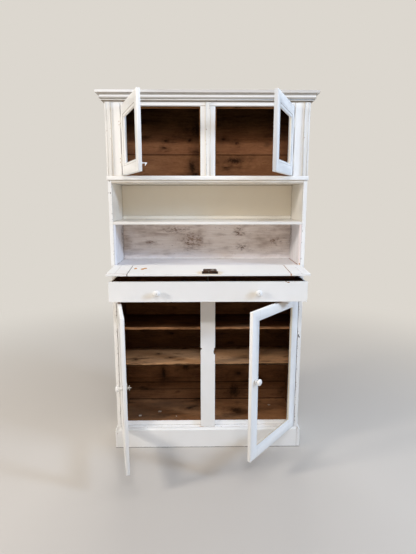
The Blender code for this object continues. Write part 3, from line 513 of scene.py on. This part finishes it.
def back_look(tree, where):
    """Middle back board: bare above, cream in the upper niche, thin grey wash in the lower one."""
    height = add(tree, "SeparateXYZ", [where], "Z")
    # The upper niche's cream, its own paint, lifted to near white as painted light
    cream = oil_paint(tree, where, "x", "#FBF2E1", "#EFE3CD", wear=0.0)
    # Painted shade along the top of the upper niche's back, under the upper floor
    under = add(tree, "Math", [UPPER_FLOOR[0][2], height], operation="SUBTRACT")
    cream = tint(tree, cream, "#8B7B60", band(tree, under, -ANY, 5 * MM, 3 * MM), 0.5)
    wash = grey_wash(tree, where, "x", "#F8F0EA", "#E6D8CD", 0.50, WASH_RUBS)
    thin = patches(tree, where, WASH_THIN, ragged=1.3, soft=0.9, grain=60.0)
    streaks = cloud(tree, where, 90 * MM, 6.0, 0.30, 0.62, "x", 14 * MM, 37.0)
    wash = tint(tree, wash, "#86603F", thin, streaks, 0.50)
    # Painted light: the wash lighter low down, below the niche shelf's shadow line
    painted_light = add(tree, "MapRange", [height, *LOWER_WASH_LIGHT])
    brushed = cloud(tree, where, 160 * MM, 4.0, 0.25, 0.60, "x", 60 * MM, 41.0)
    wash = tint(tree, wash, "#F2F0F4", painted_light, brushed, 0.55)
    drips = band(tree, height, NICHE_FLOOR[1][2] + 3 * MM, NICHE_FLOOR[1][2] + 9 * MM, 1.5 * MM)
    wash = tint(tree, wash, "#FBF9F6", drips, cloud(tree, where, 30 * MM, 4.0, 0.35, 0.55, seed=43.0), 0.7)
    inside = short(tree, where, "y", BACK_FACE + 1 * MM)
    made = over(tree, stained_boards(tree, where, "x", "#BC805A", UPPER_KNOTS), cream, inside,
                past(tree, where, "z", NICHE_SHELF[0][2]), short(tree, where, "z", UPPER_FLOOR[0][2]))
    return over(tree, made, wash, inside, short(tree, where, "z", NICHE_SHELF[0][2]))


def high_back_look(tree, where):
    """Upper back board, darkened towards the top as painted shadow under the top rail."""
    height = add(tree, "SeparateXYZ", [where], "Z")
    painted_shadow = add(tree, "MapRange", [height, *UPPER_BACK_SHADOW])
    # Painted shadow: the tone and a dark coat deepen towards the top
    made = stained_boards(tree, where, "x", coats(tree, "#B37755", ("#1C0D06", painted_shadow, 0.97)), HIGH_KNOTS)
    made = tint(tree, made, "#0E0603", painted_shadow, 0.50)
    return tint(tree, made, "#0D0603", band(tree, height, BACK_SEAM - 1 * MM, BACK_SEAM + 2.5 * MM), 0.9)


def low_back_look(tree, where):
    """Lower back: stained boards with dark seams between them, and painted shade under and over the low
    shelf.
    """
    made = stained_boards(tree, where, "x", "#6E4733", LOW_KNOTS)
    height = add(tree, "Math", [add(tree, "SeparateXYZ", [where], "Z"),
                                wander(tree, where, 300 * MM, 4 * MM)], operation="ADD")
    for level, half in BACK_SEAMS:
        seam = band(tree, height, (level - half) * MM, (level + half) * MM, 0.6 * MM)
        made = tint(tree, made, "#140A05", seam, 0.85)
    # Painted shade under the low shelf, and over it up to the high shelf
    painted_shade = add(tree, "MapRange", [height, LOW_SHELF_FOOT - 85 * MM, LOW_SHELF_FOOT])
    return tint(tree, made, "#0E0603", painted_shade, short(tree, where, "z", HIGH_SHELF_FOOT), 0.50)


def bottom_board_look(tree, where):
    """Floor of the lower cupboard: bare and worn, with painted shade at its left and back, drips of paint and
    a painted front edge.
    """
    made = stained_boards(tree, where, "x", "#A67450", FLOOR_KNOTS)
    # Painted shade: dark patches at the left and the back
    floor_shade = patches(tree, where, FLOOR_SHADE_PATCHES, ragged=0.9, soft=0.9, grain=60.0)
    made = tint(tree, made, "#40342C", floor_shade, 0.45)
    made = tint(tree, made, "#DACFBF", patches(tree, where, FLOOR_FLECKS, ragged=1.2), 0.9)
    bare = past(tree, where, "y", SHELF_FRONT + 4 * MM, 2.5 * MM)
    # The front edge's white is lighter than the other paint, as painted light on the lit ledge
    return over(tree, oil_paint(tree, where, "x", "#FAF8F5", "#EFE9DC"), made, bare)


def edged_board_look(tree, where, depth, ragged):
    """Bare stained board, painted along the front edge that shows."""
    bare = past(tree, where, "y", FRONT + depth, ragged)
    return over(tree, oil_paint(tree, where, "x"), stained_boards(tree, where, "x"), bare)


def upper_floor_look(tree, where):
    """Floor of the upper cabinet: bare on top, painted dull on its front edge and underside, the dullness
    partly painted shade, with more painted shade at the edge's foot and deeper under it.
    """
    bare = times(tree, past(tree, where, "z", UPPER_FLOOR[1][2] - 1 * MM),
                 past(tree, where, "y", FRONT + 12 * MM, 2 * MM))
    paint = oil_paint(tree, where, "x", "#EAE5DB", "#DDD4C5")
    # Painted shade along the foot of the front edge
    foot = short(tree, where, "z", UPPER_FLOOR[0][2] + 7.5 * MM)
    paint = tint(tree, paint, "#9C8C75", foot, short(tree, where, "y", FRONT + 3 * MM), 0.60)
    # Painted shade on the underside, darker further back
    depth = add(tree, "SeparateXYZ", [where], "Y")
    deep = add(tree, "MapRange", [depth, FRONT + 20 * MM, BACK_FACE])
    paint = tint(tree, paint, "#7F7058", deep, 0.40)
    return over(tree, paint, stained_boards(tree, where, "x", "#A67450"), bare)


def shelf_look(tree, where, tone, edge_tone, knots=()):
    """Bare shelf in a given tone, darker to the back as painted shade, rubbed along its front edge, with
    painted shade at that edge's foot.
    """
    x, y, z = add(tree, "SeparateXYZ", [where]).node.outputs
    made = stained_boards(tree, where, "x", tone, knots)
    # Painted shade, darker towards the back
    deep = add(tree, "MapRange", [y, *SHELF_BACK_SHADE])
    made = tint(tree, made, "#2A1609", deep, 0.50)
    edge = short(tree, where, "y", SHELF_FRONT + 2.5 * MM, 1.5 * MM)
    worn = cloud(tree, where, 60 * MM, 5.0, 0.34, 0.64, "x", 8 * MM, 31.0)
    made = tint(tree, made, edge_tone, edge, worn, 0.85)
    # Painted shade on the front edge's foot, up to a line that climbs to the right
    level = add(tree, "Math", [z, times(tree, x, EDGE_SHADE_SLOPE)], operation="SUBTRACT")
    foot = add(tree, "Math", [level, LOW_SHELF_FOOT + EDGE_SHADE_FOOT], operation="LESS_THAN")
    return tint(tree, made, "#170C06", edge, foot, 0.9)


def niche_shelf_look(tree, where):
    """Niche shelf: creamy white on top, its front edge greyer."""
    made = oil_paint(tree, where, "x", "#FAF6EE", "#EFE8DB")
    return tint(tree, made, "#D6D3CE", short(tree, where, "y", FRONT + 2 * MM), 0.6)


def niche_floor_look(tree, where):
    """Floor of the lower niche: washed nearly white, brown along the right side."""
    made = grey_wash(tree, where, "x", "#F2F0F1", "#E6E2E2", 0.12)
    line = band(tree, add(tree, "SeparateXYZ", [where]), INNER - 5 * MM, INNER)
    return tint(tree, made, "#A5692F", line, past(tree, where, "y", BROWN_LINE_START), 0.8)


def door_look(tree, where, kind, quirk, rim, glow, free_edge_shade):
    """Door frame read from its own pin: strokes follow stiles and rails, painted shade lies in the moulding
    and on the free edge.
    """
    width, height, stile, top, bottom = [value * MM for value in DOOR_SIZES[kind]]
    near, far = DOOR_PLAY + stile, DOOR_PLAY + width - stile
    x, y, up = add(tree, "SeparateXYZ", [where]).node.outputs
    across = add(tree, "Math", [x], operation="ABSOLUTE")
    turned_round = add(tree, "CombineXYZ", [up, y, across])
    laid = add(tree, "Mix", {0: band(tree, across, near, far), 4: where, 5: turned_round}, 1,
               data_type="VECTOR")
    made = oil_paint(tree, laid, "z", dirt="#D2C8B6")
    sides = ((near, across), (across, far), (bottom, up), (up, height - top))
    inset = either(tree, *[add(tree, "Math", [start, end], operation="SUBTRACT")
                           for start, end in sides])
    # Painted shade in the quirk and on the steep fillet, and a cream-brown rim that is partly painted shade,
    # partly old cream
    for line, share, colour in ((QUIRK, quirk, "#8C8073"), (FILLET, quirk * 0.6, "#9C9285"),
                                (RIM, rim, "#CDBFA6")):
        made = tint(tree, made, colour, band(tree, inset, line[0] * MM, line[1] * MM), share)
    # The inner edge by the hinge takes the door's tone, painting the light and shade it stands in
    hinge_side = add(tree, "Math", [across, (near + far) / 2], operation="LESS_THAN")
    made = tint(tree, made, glow, hinge_side, band(tree, up, bottom, height - top),
                band(tree, inset, -ANY, 5 * MM), 0.85)
    joint = either(tree, *[band(tree, across, seam - 0.35 * MM, seam + 0.35 * MM, 0.1 * MM)
                           for seam in (near, far)])
    flat = add(tree, "Math", [inset, 14 * MM], operation="GREATER_THAN")
    made = tint(tree, made, "#A08A68", joint, flat, 0.6)
    # Painted shade: the free edge darkened bluish grey by its share
    edge = add(tree, "Math", [across, DOOR_PLAY + width - 1 * MM], operation="GREATER_THAN")
    return tint(tree, made, "#BFC3C8", edge, free_edge_shade)


def flap_look(tree, where):
    """Flap: two patches worn to golden wood, brown joints at the ends, old yellow paint round the lock."""
    slope = math.tan(FLAP_DROOP)
    _, y, z = add(tree, "SeparateXYZ", [where]).node.outputs
    level = add(tree, "Math", [z, times(tree, y, slope)], operation="SUBTRACT")
    top = FLAP_REAR_TOP[2] - FLAP_REAR_TOP[1] * slope
    upper = add(tree, "Math", [level, top - 4 * MM], operation="GREATER_THAN")
    bare = times(tree, upper, patches(tree, where, FLAP_BARE, ragged=0.35))
    made = oil_paint(tree, where, "x", wear=0.4, bare=bare, wood=GOLDEN_WOOD)
    made = tint(tree, made, "#E8DAC0", upper, patch(tree, where, *FLAP_RING, 0.4, 0.15), 0.75)
    made = tint(tree, made, "#3A2416", short(tree, where, "x", FLAP_JOINTS[0], 1.5 * MM))
    return tint(tree, made, "#B5702F", past(tree, where, "x", FLAP_JOINTS[1], 1.5 * MM))


def cleat_look(tree, where):
    """Left end of the flap: a thin brown line of bare wood just behind the front edge."""
    ragged = add(tree, "Math", [add(tree, "SeparateXYZ", [where], "Y"),
                                wander(tree, where, 40 * MM, 1 * MM)], operation="ADD")
    line = band(tree, ragged, FLAP_FRONT + 4 * MM, FLAP_FRONT + 9 * MM)
    return tint(tree, oil_paint(tree, where, "y", wear=0.7), "#9A6A35", line, 0.85)


def drawer_front_look(tree, where):
    """Drawer front: fingers have yellowed the paint beside the knobs, and the top edge is chipped."""
    made = oil_paint(tree, where, "x", bare=patches(tree, where, DRAWER_CHIPS))
    made = tint(tree, made, "#D9C49A", patches(tree, where, DRAWER_STAINS, soft=0.9, grain=30.0), 0.25)
    inside = past(tree, where, "y", DRAWER[1][1] - 2 * MM)
    return over(tree, made, stained_boards(tree, where, "x", "#865440"), inside)


def drawer_side_look(tree, where):
    """Drawer sides: bare boards with old paint on their top edges, cream on one and grey on the other."""
    rest = oil_paint(tree, where, "y", "#D8CFBE", "#C2B497", wear=0.6)
    rest = tint(tree, rest, "#B9C0CB", past(tree, where, "x", 0.0))
    top = past(tree, where, "z", DRAWER_SIDE_TOP - 1.2 * MM, 0.8 * MM)
    return over(tree, stained_boards(tree, where, "y", "#865440"), rest, top)


def divider_look(tree, where):
    """Drawer divider: its top edge rubbed pale."""
    made = stained_boards(tree, where, "y", "#865440")
    return tint(tree, made, "#B7A896", past(tree, where, "z", DIVIDER_TOP - 1 * MM), 0.8)


def material(name, look, *details, place=None, metallic=0.0, **settings):
    """A material from a look with its details, read in the cabinet's frame or in a turned piece's own."""
    made = bpy.data.materials.new(name)
    made.use_nodes = True
    tree = made.node_tree
    shader = tree.nodes["Principled BSDF"]
    where = add(tree, "TexCoord", out="Object")
    if place:
        pin, turn = place
        where = add(tree, "Mapping", {"Vector": where, "Location": pin, "Rotation": turn},
                    vector_type="TEXTURE")
    colour, rough, relief, gloss = look(tree, where, *details, **settings)
    bump = add(tree, "Bump", {"Height": relief, "Distance": BRUSH_RELIEF, "Strength": 0.3})
    for socket, value in (("Base Color", colour), ("Roughness", rough), ("Specular IOR Level", gloss),
                          ("Metallic", metallic), ("Normal", bump)):
        if isinstance(value, float):
            shader.inputs[socket].default_value = value
        else:
            tree.links.new(value, shader.inputs[socket])
    return made


def dress(finish, *nodes):
    """Give CAD nodes a finish."""
    for node in nodes:
        mesh = frame["nodes"][node].data
        mesh.materials.clear()
        mesh.materials.append(finish)


# New pieces

def piece(name, shape, finish, node, keep=False):
    """A new visible piece from a bmesh, in place of the CAD node it rides with or, where kept, beside it."""
    mesh = bpy.data.meshes.new(name)
    shape.to_mesh(mesh)
    shape.free()
    mesh.materials.append(finish)
    mesh.shade_smooth()
    mesh.set_sharp_from_angle(angle=SMOOTH_UNDER)
    item = bpy.data.objects.new(name, mesh)
    bpy.context.scene.collection.objects.link(item)
    if not keep:
        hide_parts(node)
    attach(item, BODY_OF[node])


def smooth_copies(finish, *nodes):
    """CAD nodes' own shapes with their facets joined and their curves shaded smooth."""
    for node in nodes:
        shape = bmesh.new()
        shape.from_mesh(frame["nodes"][node].data)
        bmesh.ops.remove_doubles(shape, verts=shape.verts, dist=WELD)
        for layer in list(shape.loops.layers.float_vector.values()):
            shape.loops.layers.float_vector.remove(layer)
        bmesh.ops.recalc_face_normals(shape, faces=shape.faces)
        piece(node + "_smooth", shape, finish, node)


def turned(shape, profile, place, steps=48):
    """Spin a (radius, height) profile in mm round Z, then put it in place."""
    before = set(shape.verts)
    verts = [shape.verts.new((radius * MM, 0.0, height * MM)) for radius, height in profile]
    edges = [shape.edges.new(pair) for pair in zip(verts, verts[1:])]
    bmesh.ops.spin(shape, geom=verts + edges, axis=(0, 0, 1), cent=(0, 0, 0), angle=2 * math.pi,
                   steps=steps, use_merge=True)
    spun = [vert for vert in shape.verts if vert not in before]
    bmesh.ops.remove_doubles(shape, verts=spun, dist=WELD)
    made = [vert for vert in shape.verts if vert not in before]
    bmesh.ops.transform(shape, matrix=place, verts=made)
    bmesh.ops.recalc_face_normals(shape, faces=list({face for vert in made for face in vert.link_faces}))


def block(shape, low, high, place=Matrix(), round_=0.5, segments=2):
    """A bevelled box between two corners in mm, put in place."""
    low, high = Vector(low) * MM, Vector(high) * MM
    verts = bmesh.ops.create_cube(shape, size=1.0)["verts"]
    size = Matrix.Diagonal((*(high - low), 1.0))
    bmesh.ops.transform(shape, matrix=place @ Matrix.Translation((low + high) / 2) @ size, verts=verts)
    edges = list({edge for vert in verts for edge in vert.link_edges})
    bmesh.ops.bevel(shape, geom=edges, offset=round_ * MM, offset_type="OFFSET", affect="EDGES",
                    segments=segments, profile=0.5, material=-1)


def knob_profile(length, tail, dimple=0.0):
    """Turned knob in mm: round head, slim neck and swelling foot; the spindle goes through the wood."""
    head, neck, foot = 17.0, 7.5, 11.0
    crown = length - head * 0.58
    points = [(0.0, length)]
    for step in range(1, 13):
        angle = math.pi / 2 * step / 12
        points.append((head * math.sin(angle), crown + (length - crown) * math.cos(angle)))
    if dimple:
        points[:2] = [(0.0, length - dimple), (2.4, length - dimple), (3.2, points[2][1])]
    for share, fall in ((0.985, 0.12), (0.95, 0.20), (0.89, 0.30), (0.80, 0.40), (0.70, 0.485), (0.60, 0.55)):
        points.append((head * share, crown - head * fall))
    top = crown - head * 0.66
    for step in range(9):
        share = step / 8
        points.append((neck + (foot - neck) * share ** 3, top + (4.0 - top) * share))
    points += [(foot, 1.2), (foot - 0.5, 0.4)]
    points += [(4.0, 0.4), (4.0, -tail), (0.0, -tail)] if tail else [(0.0, 0.4)]
    return points


def facing(centre, outward):
    """Turn +Z to a direction at a point."""
    return Matrix.Translation(centre) @ Vector(outward).to_track_quat("Z", "Y").to_matrix().to_4x4()


def door_place(name):
    """Matrix from a door's own frame, pin at the origin and closed, to where it stands, and its turn."""
    joint = JOINTS[name + "_door_hinge"]
    turn = math.radians(-joint["range_deg"][0]) * joint["axis"][2]
    return Matrix.Translation(joint["pos_m"]) @ Matrix.Rotation(turn, 4, "Z"), turn


def make_knobs(paint, steel):
    """Turned knobs: the drawer's with a sunk screw, the doors' with a tongue and wing nut behind."""
    screw = [(0.0, 27.2), (1.4, 27.1), (2.0, 26.6), (2.0, 26.2), (0.0, 26.2)]
    bolt = [(0.0, 42.0), (1.6, 41.6), (2.2, 40.6), (2.2, 31.0), (4.0, 30.6), (5.0, 25.0), (0.0, 24.2)]
    for side in ("left", "right"):
        node = "drawer_knob_" + side
        low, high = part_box(node)
        centre = (low + high) / 2
        place = facing((centre.x, DRAWER[0][1], centre.z), (0, -1, 0))
        shape = bmesh.new()
        turned(shape, knob_profile(length=28.0, tail=0.0, dimple=1.6), place)
        piece(node + "_turned", shape, paint, node)
        shape = bmesh.new()
        turned(shape, screw, place, 24)
        piece(node + "_screw", shape, steel, node, keep=True)
        node = "lower_" + side + "_knob"
        joint = JOINTS[side + "_latch_turn"]
        place, turn = door_place("lower_" + side)
        outward = place.to_3x3() @ Vector((0, -1, 0))
        shape = bmesh.new()
        turned(shape, knob_profile(length=34.0, tail=24.0), facing(joint["pos_m"], outward))
        piece(node + "_turned", shape, paint, node)
        hinge_ward = -1 if side == "left" else 1
        at = Matrix.Translation(joint["pos_m"]) @ Matrix.Rotation(turn, 4, "Z")
        reach = sorted((48.0 * hinge_ward, -7.0 * hinge_ward))
        shape = bmesh.new()
        block(shape, (reach[0], 21.4, -7.0), (reach[1], 24.4, 7.0), at, 0.8)
        turned(shape, bolt, at @ Matrix.Rotation(-math.pi / 2, 4, "X"), 24)
        nut = at @ Matrix.Translation((0.0, 28.0 * MM, 0.0)) @ Matrix.Rotation(0.25 * hinge_ward, 4, "Y")
        for wing in (-1, 1):
            ends = sorted((2.0 * wing, 13.0 * wing))
            lean = nut @ Matrix.Rotation(-0.4 * wing, 4, "X")
            block(shape, (-1.5, -1.6, ends[0]), (1.5, 2.6, ends[1]), lean, 1.2, 3)
        piece("lower_" + side + "_latch_tongue", shape, steel, node, keep=True)


def make_hinges(iron):
    """Butt hinges: five-part barrel with ball tips, leaf in the post, and the door's leaf with its screws."""
    barrel, groove, half, half_leaf = 1.8, 1.45, 27.5, 26.8
    tip = [(0.0, 30.0), (0.75, 29.85), (1.2, 29.2), (1.26, 28.7), (0.95, 28.0), (groove, half)]
    profile = list(tip)
    for ring in (22.0, 11.0, 0.0, -11.0, -22.0):
        profile += [(barrel, ring + 5.0), (barrel, ring - 5.0), (groove, ring - 5.5)]
    profile += [(radius, -along) for radius, along in reversed(tip[:-1])]
    screw_head = [(0.0, 0.15), (1.4, 0.12), (2.6, 0.0), (2.6, -0.4), (0.0, -0.4)]
    for name in ("upper_left", "upper_right", "lower_left", "lower_right"):
        sign = 1 if "left" in name else -1
        joint = JOINTS[name + "_door_hinge"]
        place = door_place(name)[0]
        for level in ("top", "bottom"):
            node = name + "_hinge_" + level
            low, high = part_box(node)
            height = (low.z + high.z) / 2
            pin = Matrix.Translation((*joint["pos_m"][:2], height))
            shape = bmesh.new()
            turned(shape, profile, pin, 24)
            leaf = sorted((-0.6 * sign, 0.4 * sign))
            block(shape, (leaf[0], 0.4, -half_leaf), (leaf[1], 18.0, half_leaf), pin, 0.25)
            piece(node + "_barrel", shape, iron, node)
            up = height - joint["pos_m"][2]
            foot, head = up / MM - half_leaf, up / MM + half_leaf
            edge = sorted((0.75 * sign, 1.6 * sign))
            shape = bmesh.new()
            block(shape, (edge[0], 2.9, foot), (edge[1], 18.8, head), place, 0.2)
            for screw in (-18.0, 0.0, 18.0):
                at = place @ facing((0.75 * sign * MM, 11.0 * MM, up + screw * MM), (-sign, 0, 0))
                turned(shape, screw_head, at, 16)
            piece(node + "_leaf", shape, iron, name + "_door", keep=True)


def make_lock(iron):
    """Box lock on the flap: case with a plate and rivets, selvedge with its bolt, and a keyhole collar."""
    place = Matrix.Translation(JOINTS["flap_hinge"]["pos_m"]) @ Matrix.Rotation(FLAP_DROOP, 4, "X")
    place = place @ Matrix.Translation((LOCK_PLACE, 0.0, 0.0))
    front, rear, plate = -218.0, -163.0, 14.5
    rivet = [(0.0, 1.1), (1.6, 0.9), (2.6, 0.2), (2.6, -0.3), (0.0, -0.3)]
    collar = [(0.0, 0.4), (3.0, 0.4), (3.2, 1.6), (5.6, 1.5), (6.4, 0.2), (6.4, -0.3), (0.0, -0.3)]
    shape = bmesh.new()
    block(shape, (-34.5, front, 0.3), (34.5, rear, 12.6), place, 0.8)
    block(shape, (-32.5, front + 2.0, 12.4), (32.5, rear - 2.0, plate), place, 0.6)
    block(shape, (-40.5, front, 0.3), (40.5, front + 3.0, 13.0), place, 0.6)
    block(shape, (-9.0, front - 1.2, 3.5), (9.0, front + 1.0, 9.5), place, 0.4)
    for across in (-27.0, 27.0):
        for along in (front + 8.0, rear - 8.0):
            turned(shape, rivet, place @ Matrix.Translation(Vector((across, along, plate)) * MM), 20)
    turned(shape, collar, place @ Matrix.Translation(Vector((0.0, front + 30.0, plate)) * MM), 28)
    piece("flap_lock_case", shape, iron, "flap_lock")


def make_waist(paint):
    """Waist moulding: a flat nosing with eased arrises, lipped down over the edge of the upper floor."""
    low, high = [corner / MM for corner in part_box("waist_moulding")]
    shape = bmesh.new()
    block(shape, (low.x + 2.5, low.y, low.z - 4.4), (high.x - 2.5, high.y, high.z), round_=1.8, segments=4)
    piece("waist_moulding_nosing", shape, paint, "waist_moulding")


def make_stops(wood):
    """Brown strips behind the frame that the upper doors shut against."""
    front, rear = FRONT / MM + 20.5, FRONT / MM + 30.0
    top, foot = TOP_RAIL[0][2] / MM + 2.0, UPPER_FLOOR[1][2] / MM + 0.4
    post, stile = UPPER_MULLION[1][0] / MM, UPPER_STILE[0][0] / MM
    for side, sign in (("left", -1), ("right", 1)):
        ends = sorted((sign * post, sign * stile))
        upright = sorted((sign * post, sign * (post + 6.0)))
        shape = bmesh.new()
        block(shape, (ends[0], front, top - 11.0), (ends[1], rear, top), round_=0.8)
        block(shape, (upright[0], front, foot), (upright[1], rear, top - 11.4), round_=0.8)
        piece("upper_" + side + "_door_stop", shape, wood, "upper_mullion", keep=True)


# Floor, light and camera

def seen(tree):
    """1 for rays that show the background: from the camera, in a gloss or through glass."""
    rays = ("Is Camera Ray", "Is Glossy Ray", "Is Transmission Ray")
    path = add(tree, "LightPath").node
    return either(tree, *[path.outputs[ray] for ray in rays])


def make_floor():
    """Pale floor that fades into the background's colour away from the cabinet."""
    shape = bmesh.new()
    bmesh.ops.create_circle(shape, cap_ends=True, segments=96, radius=FLOOR_RADIUS)
    mesh = bpy.data.meshes.new("floor")
    shape.to_mesh(mesh)
    shape.free()
    floor = bpy.data.objects.new("floor", mesh)
    bpy.context.scene.collection.objects.link(floor)
    made = bpy.data.materials.new("pale_floor")
    made.use_nodes = True
    tree = made.node_tree
    shader = tree.nodes["Principled BSDF"]
    shader.inputs["Base Color"].default_value = linear(FLOOR)
    shader.inputs["Roughness"].default_value = 0.9
    reach = add(tree, "VectorMath", [add(tree, "TexCoord", out="Object")], "Value", operation="LENGTH")
    far = add(tree, "MapRange", [reach, *FLOOR_FADE], interpolation_type="SMOOTHSTEP")
    glow = add(tree, "Emission", {"Color": BACKGROUND, "Strength": 1.0})
    blended = add(tree, "MixShader", [times(tree, far, seen(tree)), shader.outputs[0], glow])
    tree.links.new(blended, tree.nodes["Material Output"].inputs["Surface"])
    mesh.materials.append(made)


def make_world():
    """Soft grey light all round; the camera sees the pale background instead."""
    world = bpy.data.worlds.new("studio")
    bpy.context.scene.world = world
    world.use_nodes = True
    tree = world.node_tree
    soft = tree.nodes["Background"]
    soft.inputs["Color"].default_value = linear(WORLD_LIGHT)
    soft.inputs["Strength"].default_value = WORLD_STRENGTH
    plain = add(tree, "Background", {"Color": BACKGROUND, "Strength": 1.0})
    blended = add(tree, "MixShader", [seen(tree), soft.outputs[0], plain])
    tree.links.new(blended, tree.nodes["World Output"].inputs["Surface"])


def make_lamp(name, place, target, size, power, colour):
    """A soft lamp turned to its target."""
    lamp = bpy.data.lights.new(name, "AREA")
    lamp.shape = "RECTANGLE"
    lamp.size, lamp.size_y = size
    lamp.energy = power
    lamp.color = linear(colour)[:3]
    holder = bpy.data.objects.new(name, lamp)
    holder.location = place
    holder.rotation_euler = (Vector(target) - Vector(place)).to_track_quat("-Z", "Y").to_euler()
    holder.visible_camera = False
    bpy.context.scene.collection.objects.link(holder)


def make_camera():
    """Camera at the photograph's view."""
    lens = bpy.data.cameras.new("photograph_view")
    lens.lens = LENS_MM
    lens.sensor_fit = "VERTICAL"
    lens.sensor_height = SENSOR_MM
    camera = bpy.data.objects.new("photograph_view", lens)
    camera.location = CAMERA_PLACE
    camera.rotation_euler = (math.pi / 2 - CAMERA_PITCH, 0.0, -CAMERA_YAW)
    bpy.context.scene.collection.objects.link(camera)
    bpy.context.scene.camera = camera


def dress_mouldings():
    """Cornice, waist moulding, plinth and upright strips."""
    smooth_copies(material("oil_paint_cornice", cornice_look, "x"), "cornice_front")
    smooth_copies(material("oil_paint_cornice_returns", cornice_look, "y"), "cornice_left", "cornice_right")
    # The waist's white is lighter than the other paint, as painted light
    make_waist(material("oil_paint_waist", oil_paint, "x", white="#F4F3F0", dirt="#D2C9BA"))
    smooth_copies(material("oil_paint_plinth", plinth_look, "x", PLINTH_JOINT), "plinth_front")
    smooth_copies(material("oil_paint_plinth_returns", plinth_look, "y"), "plinth_left", "plinth_right")
    # The strips' white is darker than the other paint, as painted shade
    posts = material("oil_paint_posts", oil_paint, "z", white="#E7E5E0", dirt="#D6CBB6")
    smooth_copies(posts, "strip_left", "strip_centre", "strip_right")


def dress_doors():
    """Doors, each painted in its own frame of reference, and the hooked catch."""
    for name, *wear in DOOR_SHADE_AND_TONES:
        place = (JOINTS[name + "_door_hinge"]["pos_m"], (0.0, 0.0, door_place(name)[1]))
        kind = name.split("_")[0]
        finish = material("oil_paint_" + name + "_door", door_look, kind, *wear, place=place)
        smooth_copies(finish, name + "_door")
    smooth_copies(material("oil_paint_catch", oil_paint, "y"), "upper_left_catch")


def dress_boards():
    """Frame, boards, shelves, back, flap and drawer, as material, look, its details and nodes."""
    for name, look, details, *nodes in (
            # The left stop's bluish grey paints the cool light and shade it faces; the right stop's pinkish
            # white paints warm light
            ("oil_paint_left_stop", oil_paint, ("z", "#D5DAE6"), "flap_stop_left"),
            ("oil_paint_right_stop", right_stop_look, (), "flap_stop_right"),
            ("oil_paint_rails", oil_paint, ("x",), "flap_rail"),
            ("oil_paint_niche_shelf", niche_shelf_look, (), "niche_shelf"),
            ("oil_paint_bottom_rail", bottom_rail_look, (), "bottom_rail"),
            # The batten's cream, its own paint, lifted to near white as painted light
            ("oil_paint_batten", oil_paint, ("x", "#FBF5E8"), "niche_batten"),
            ("oil_paint_stiles", frame_look, ("z", STILE_SEAM, STILE_RUST),
             "upper_stile_left", "upper_stile_right"),
            ("oil_paint_upper_mullion", frame_look, ("z", MULLION_SEAM), "upper_mullion"),
            ("oil_paint_lower_mullion", lower_mullion_look, (), "lower_mullion"),
            ("oil_paint_top_rail", top_rail_look, (), "top_rail"),
            ("oil_paint_sides", side_look, (), "side_left", "side_right"),
            ("painted_pine_middle_back", back_look, (), "back_middle"),
            ("stained_pine_upper_back", high_back_look, (), "back_upper"),
            ("stained_pine_lower_back", low_back_look, (), "back_lower"),
            # The shelves are the same wood: the high shelf's darker tone is painted shade from the drawer
            # above, the low shelf's paler tone a painted lit top
            ("stained_pine_high_shelf", shelf_look, ("#6E4A35", "#BA875E"), "high_shelf"),
            ("stained_pine_low_shelf", shelf_look, ("#FABF8B", "#331E0E", SHELF_KNOTS), "low_shelf"),
            ("stained_pine_bottom_board", bottom_board_look, (), "bottom_board"),
            ("stained_pine_dust_board", edged_board_look, (8 * MM, 2.5 * MM), "dust_board"),
            ("oil_paint_upper_floor", upper_floor_look, (), "upper_floor"),
            ("stained_pine_top_board", edged_board_look, (30 * MM, 12 * MM), "top_board"),
            ("grey_wash_niche_floor", niche_floor_look, (), "niche_floor"),
            ("oil_paint_flap", flap_look, (), "flap_panel"),
            ("oil_paint_left_cleat", cleat_look, (), "flap_end_left"),
            ("oil_paint_drawer_front", drawer_front_look, (), "drawer_front"),
            ("stained_pine_drawer", stained_boards, ("x", "#96614B"), "drawer_back", "drawer_bottom"),
            ("stained_pine_divider", divider_look, (), "drawer_divider"),
            ("stained_pine_drawer_sides", drawer_side_look, (), "drawer_side_left", "drawer_side_right")):
        dress(material(name, look, *details), *nodes)
    dress(material("oil_paint_right_cleat", oil_paint, "y", wear=0.7), "flap_end_right")


bpy.context.scene.view_settings.view_transform = "Standard"
dress_mouldings()
dress_doors()
dress_boards()
latch_steel = material("dull_steel", dull_steel, metallic=0.9)
make_knobs(material("oil_paint_knobs", oil_paint, "z", white="#ECEBE8", wear=0.0), latch_steel)
make_hinges(material("painted_iron", painted_iron, metallic=0.1))
make_lock(material("rusty_iron", rusty_iron, metallic=0.4))
make_stops(material("stained_pine_door_stops", stained_boards, "x", tone="#6B4426"))
make_floor()
make_world()
for lamp in LAMPS:
    make_lamp(*lamp)
make_camera()
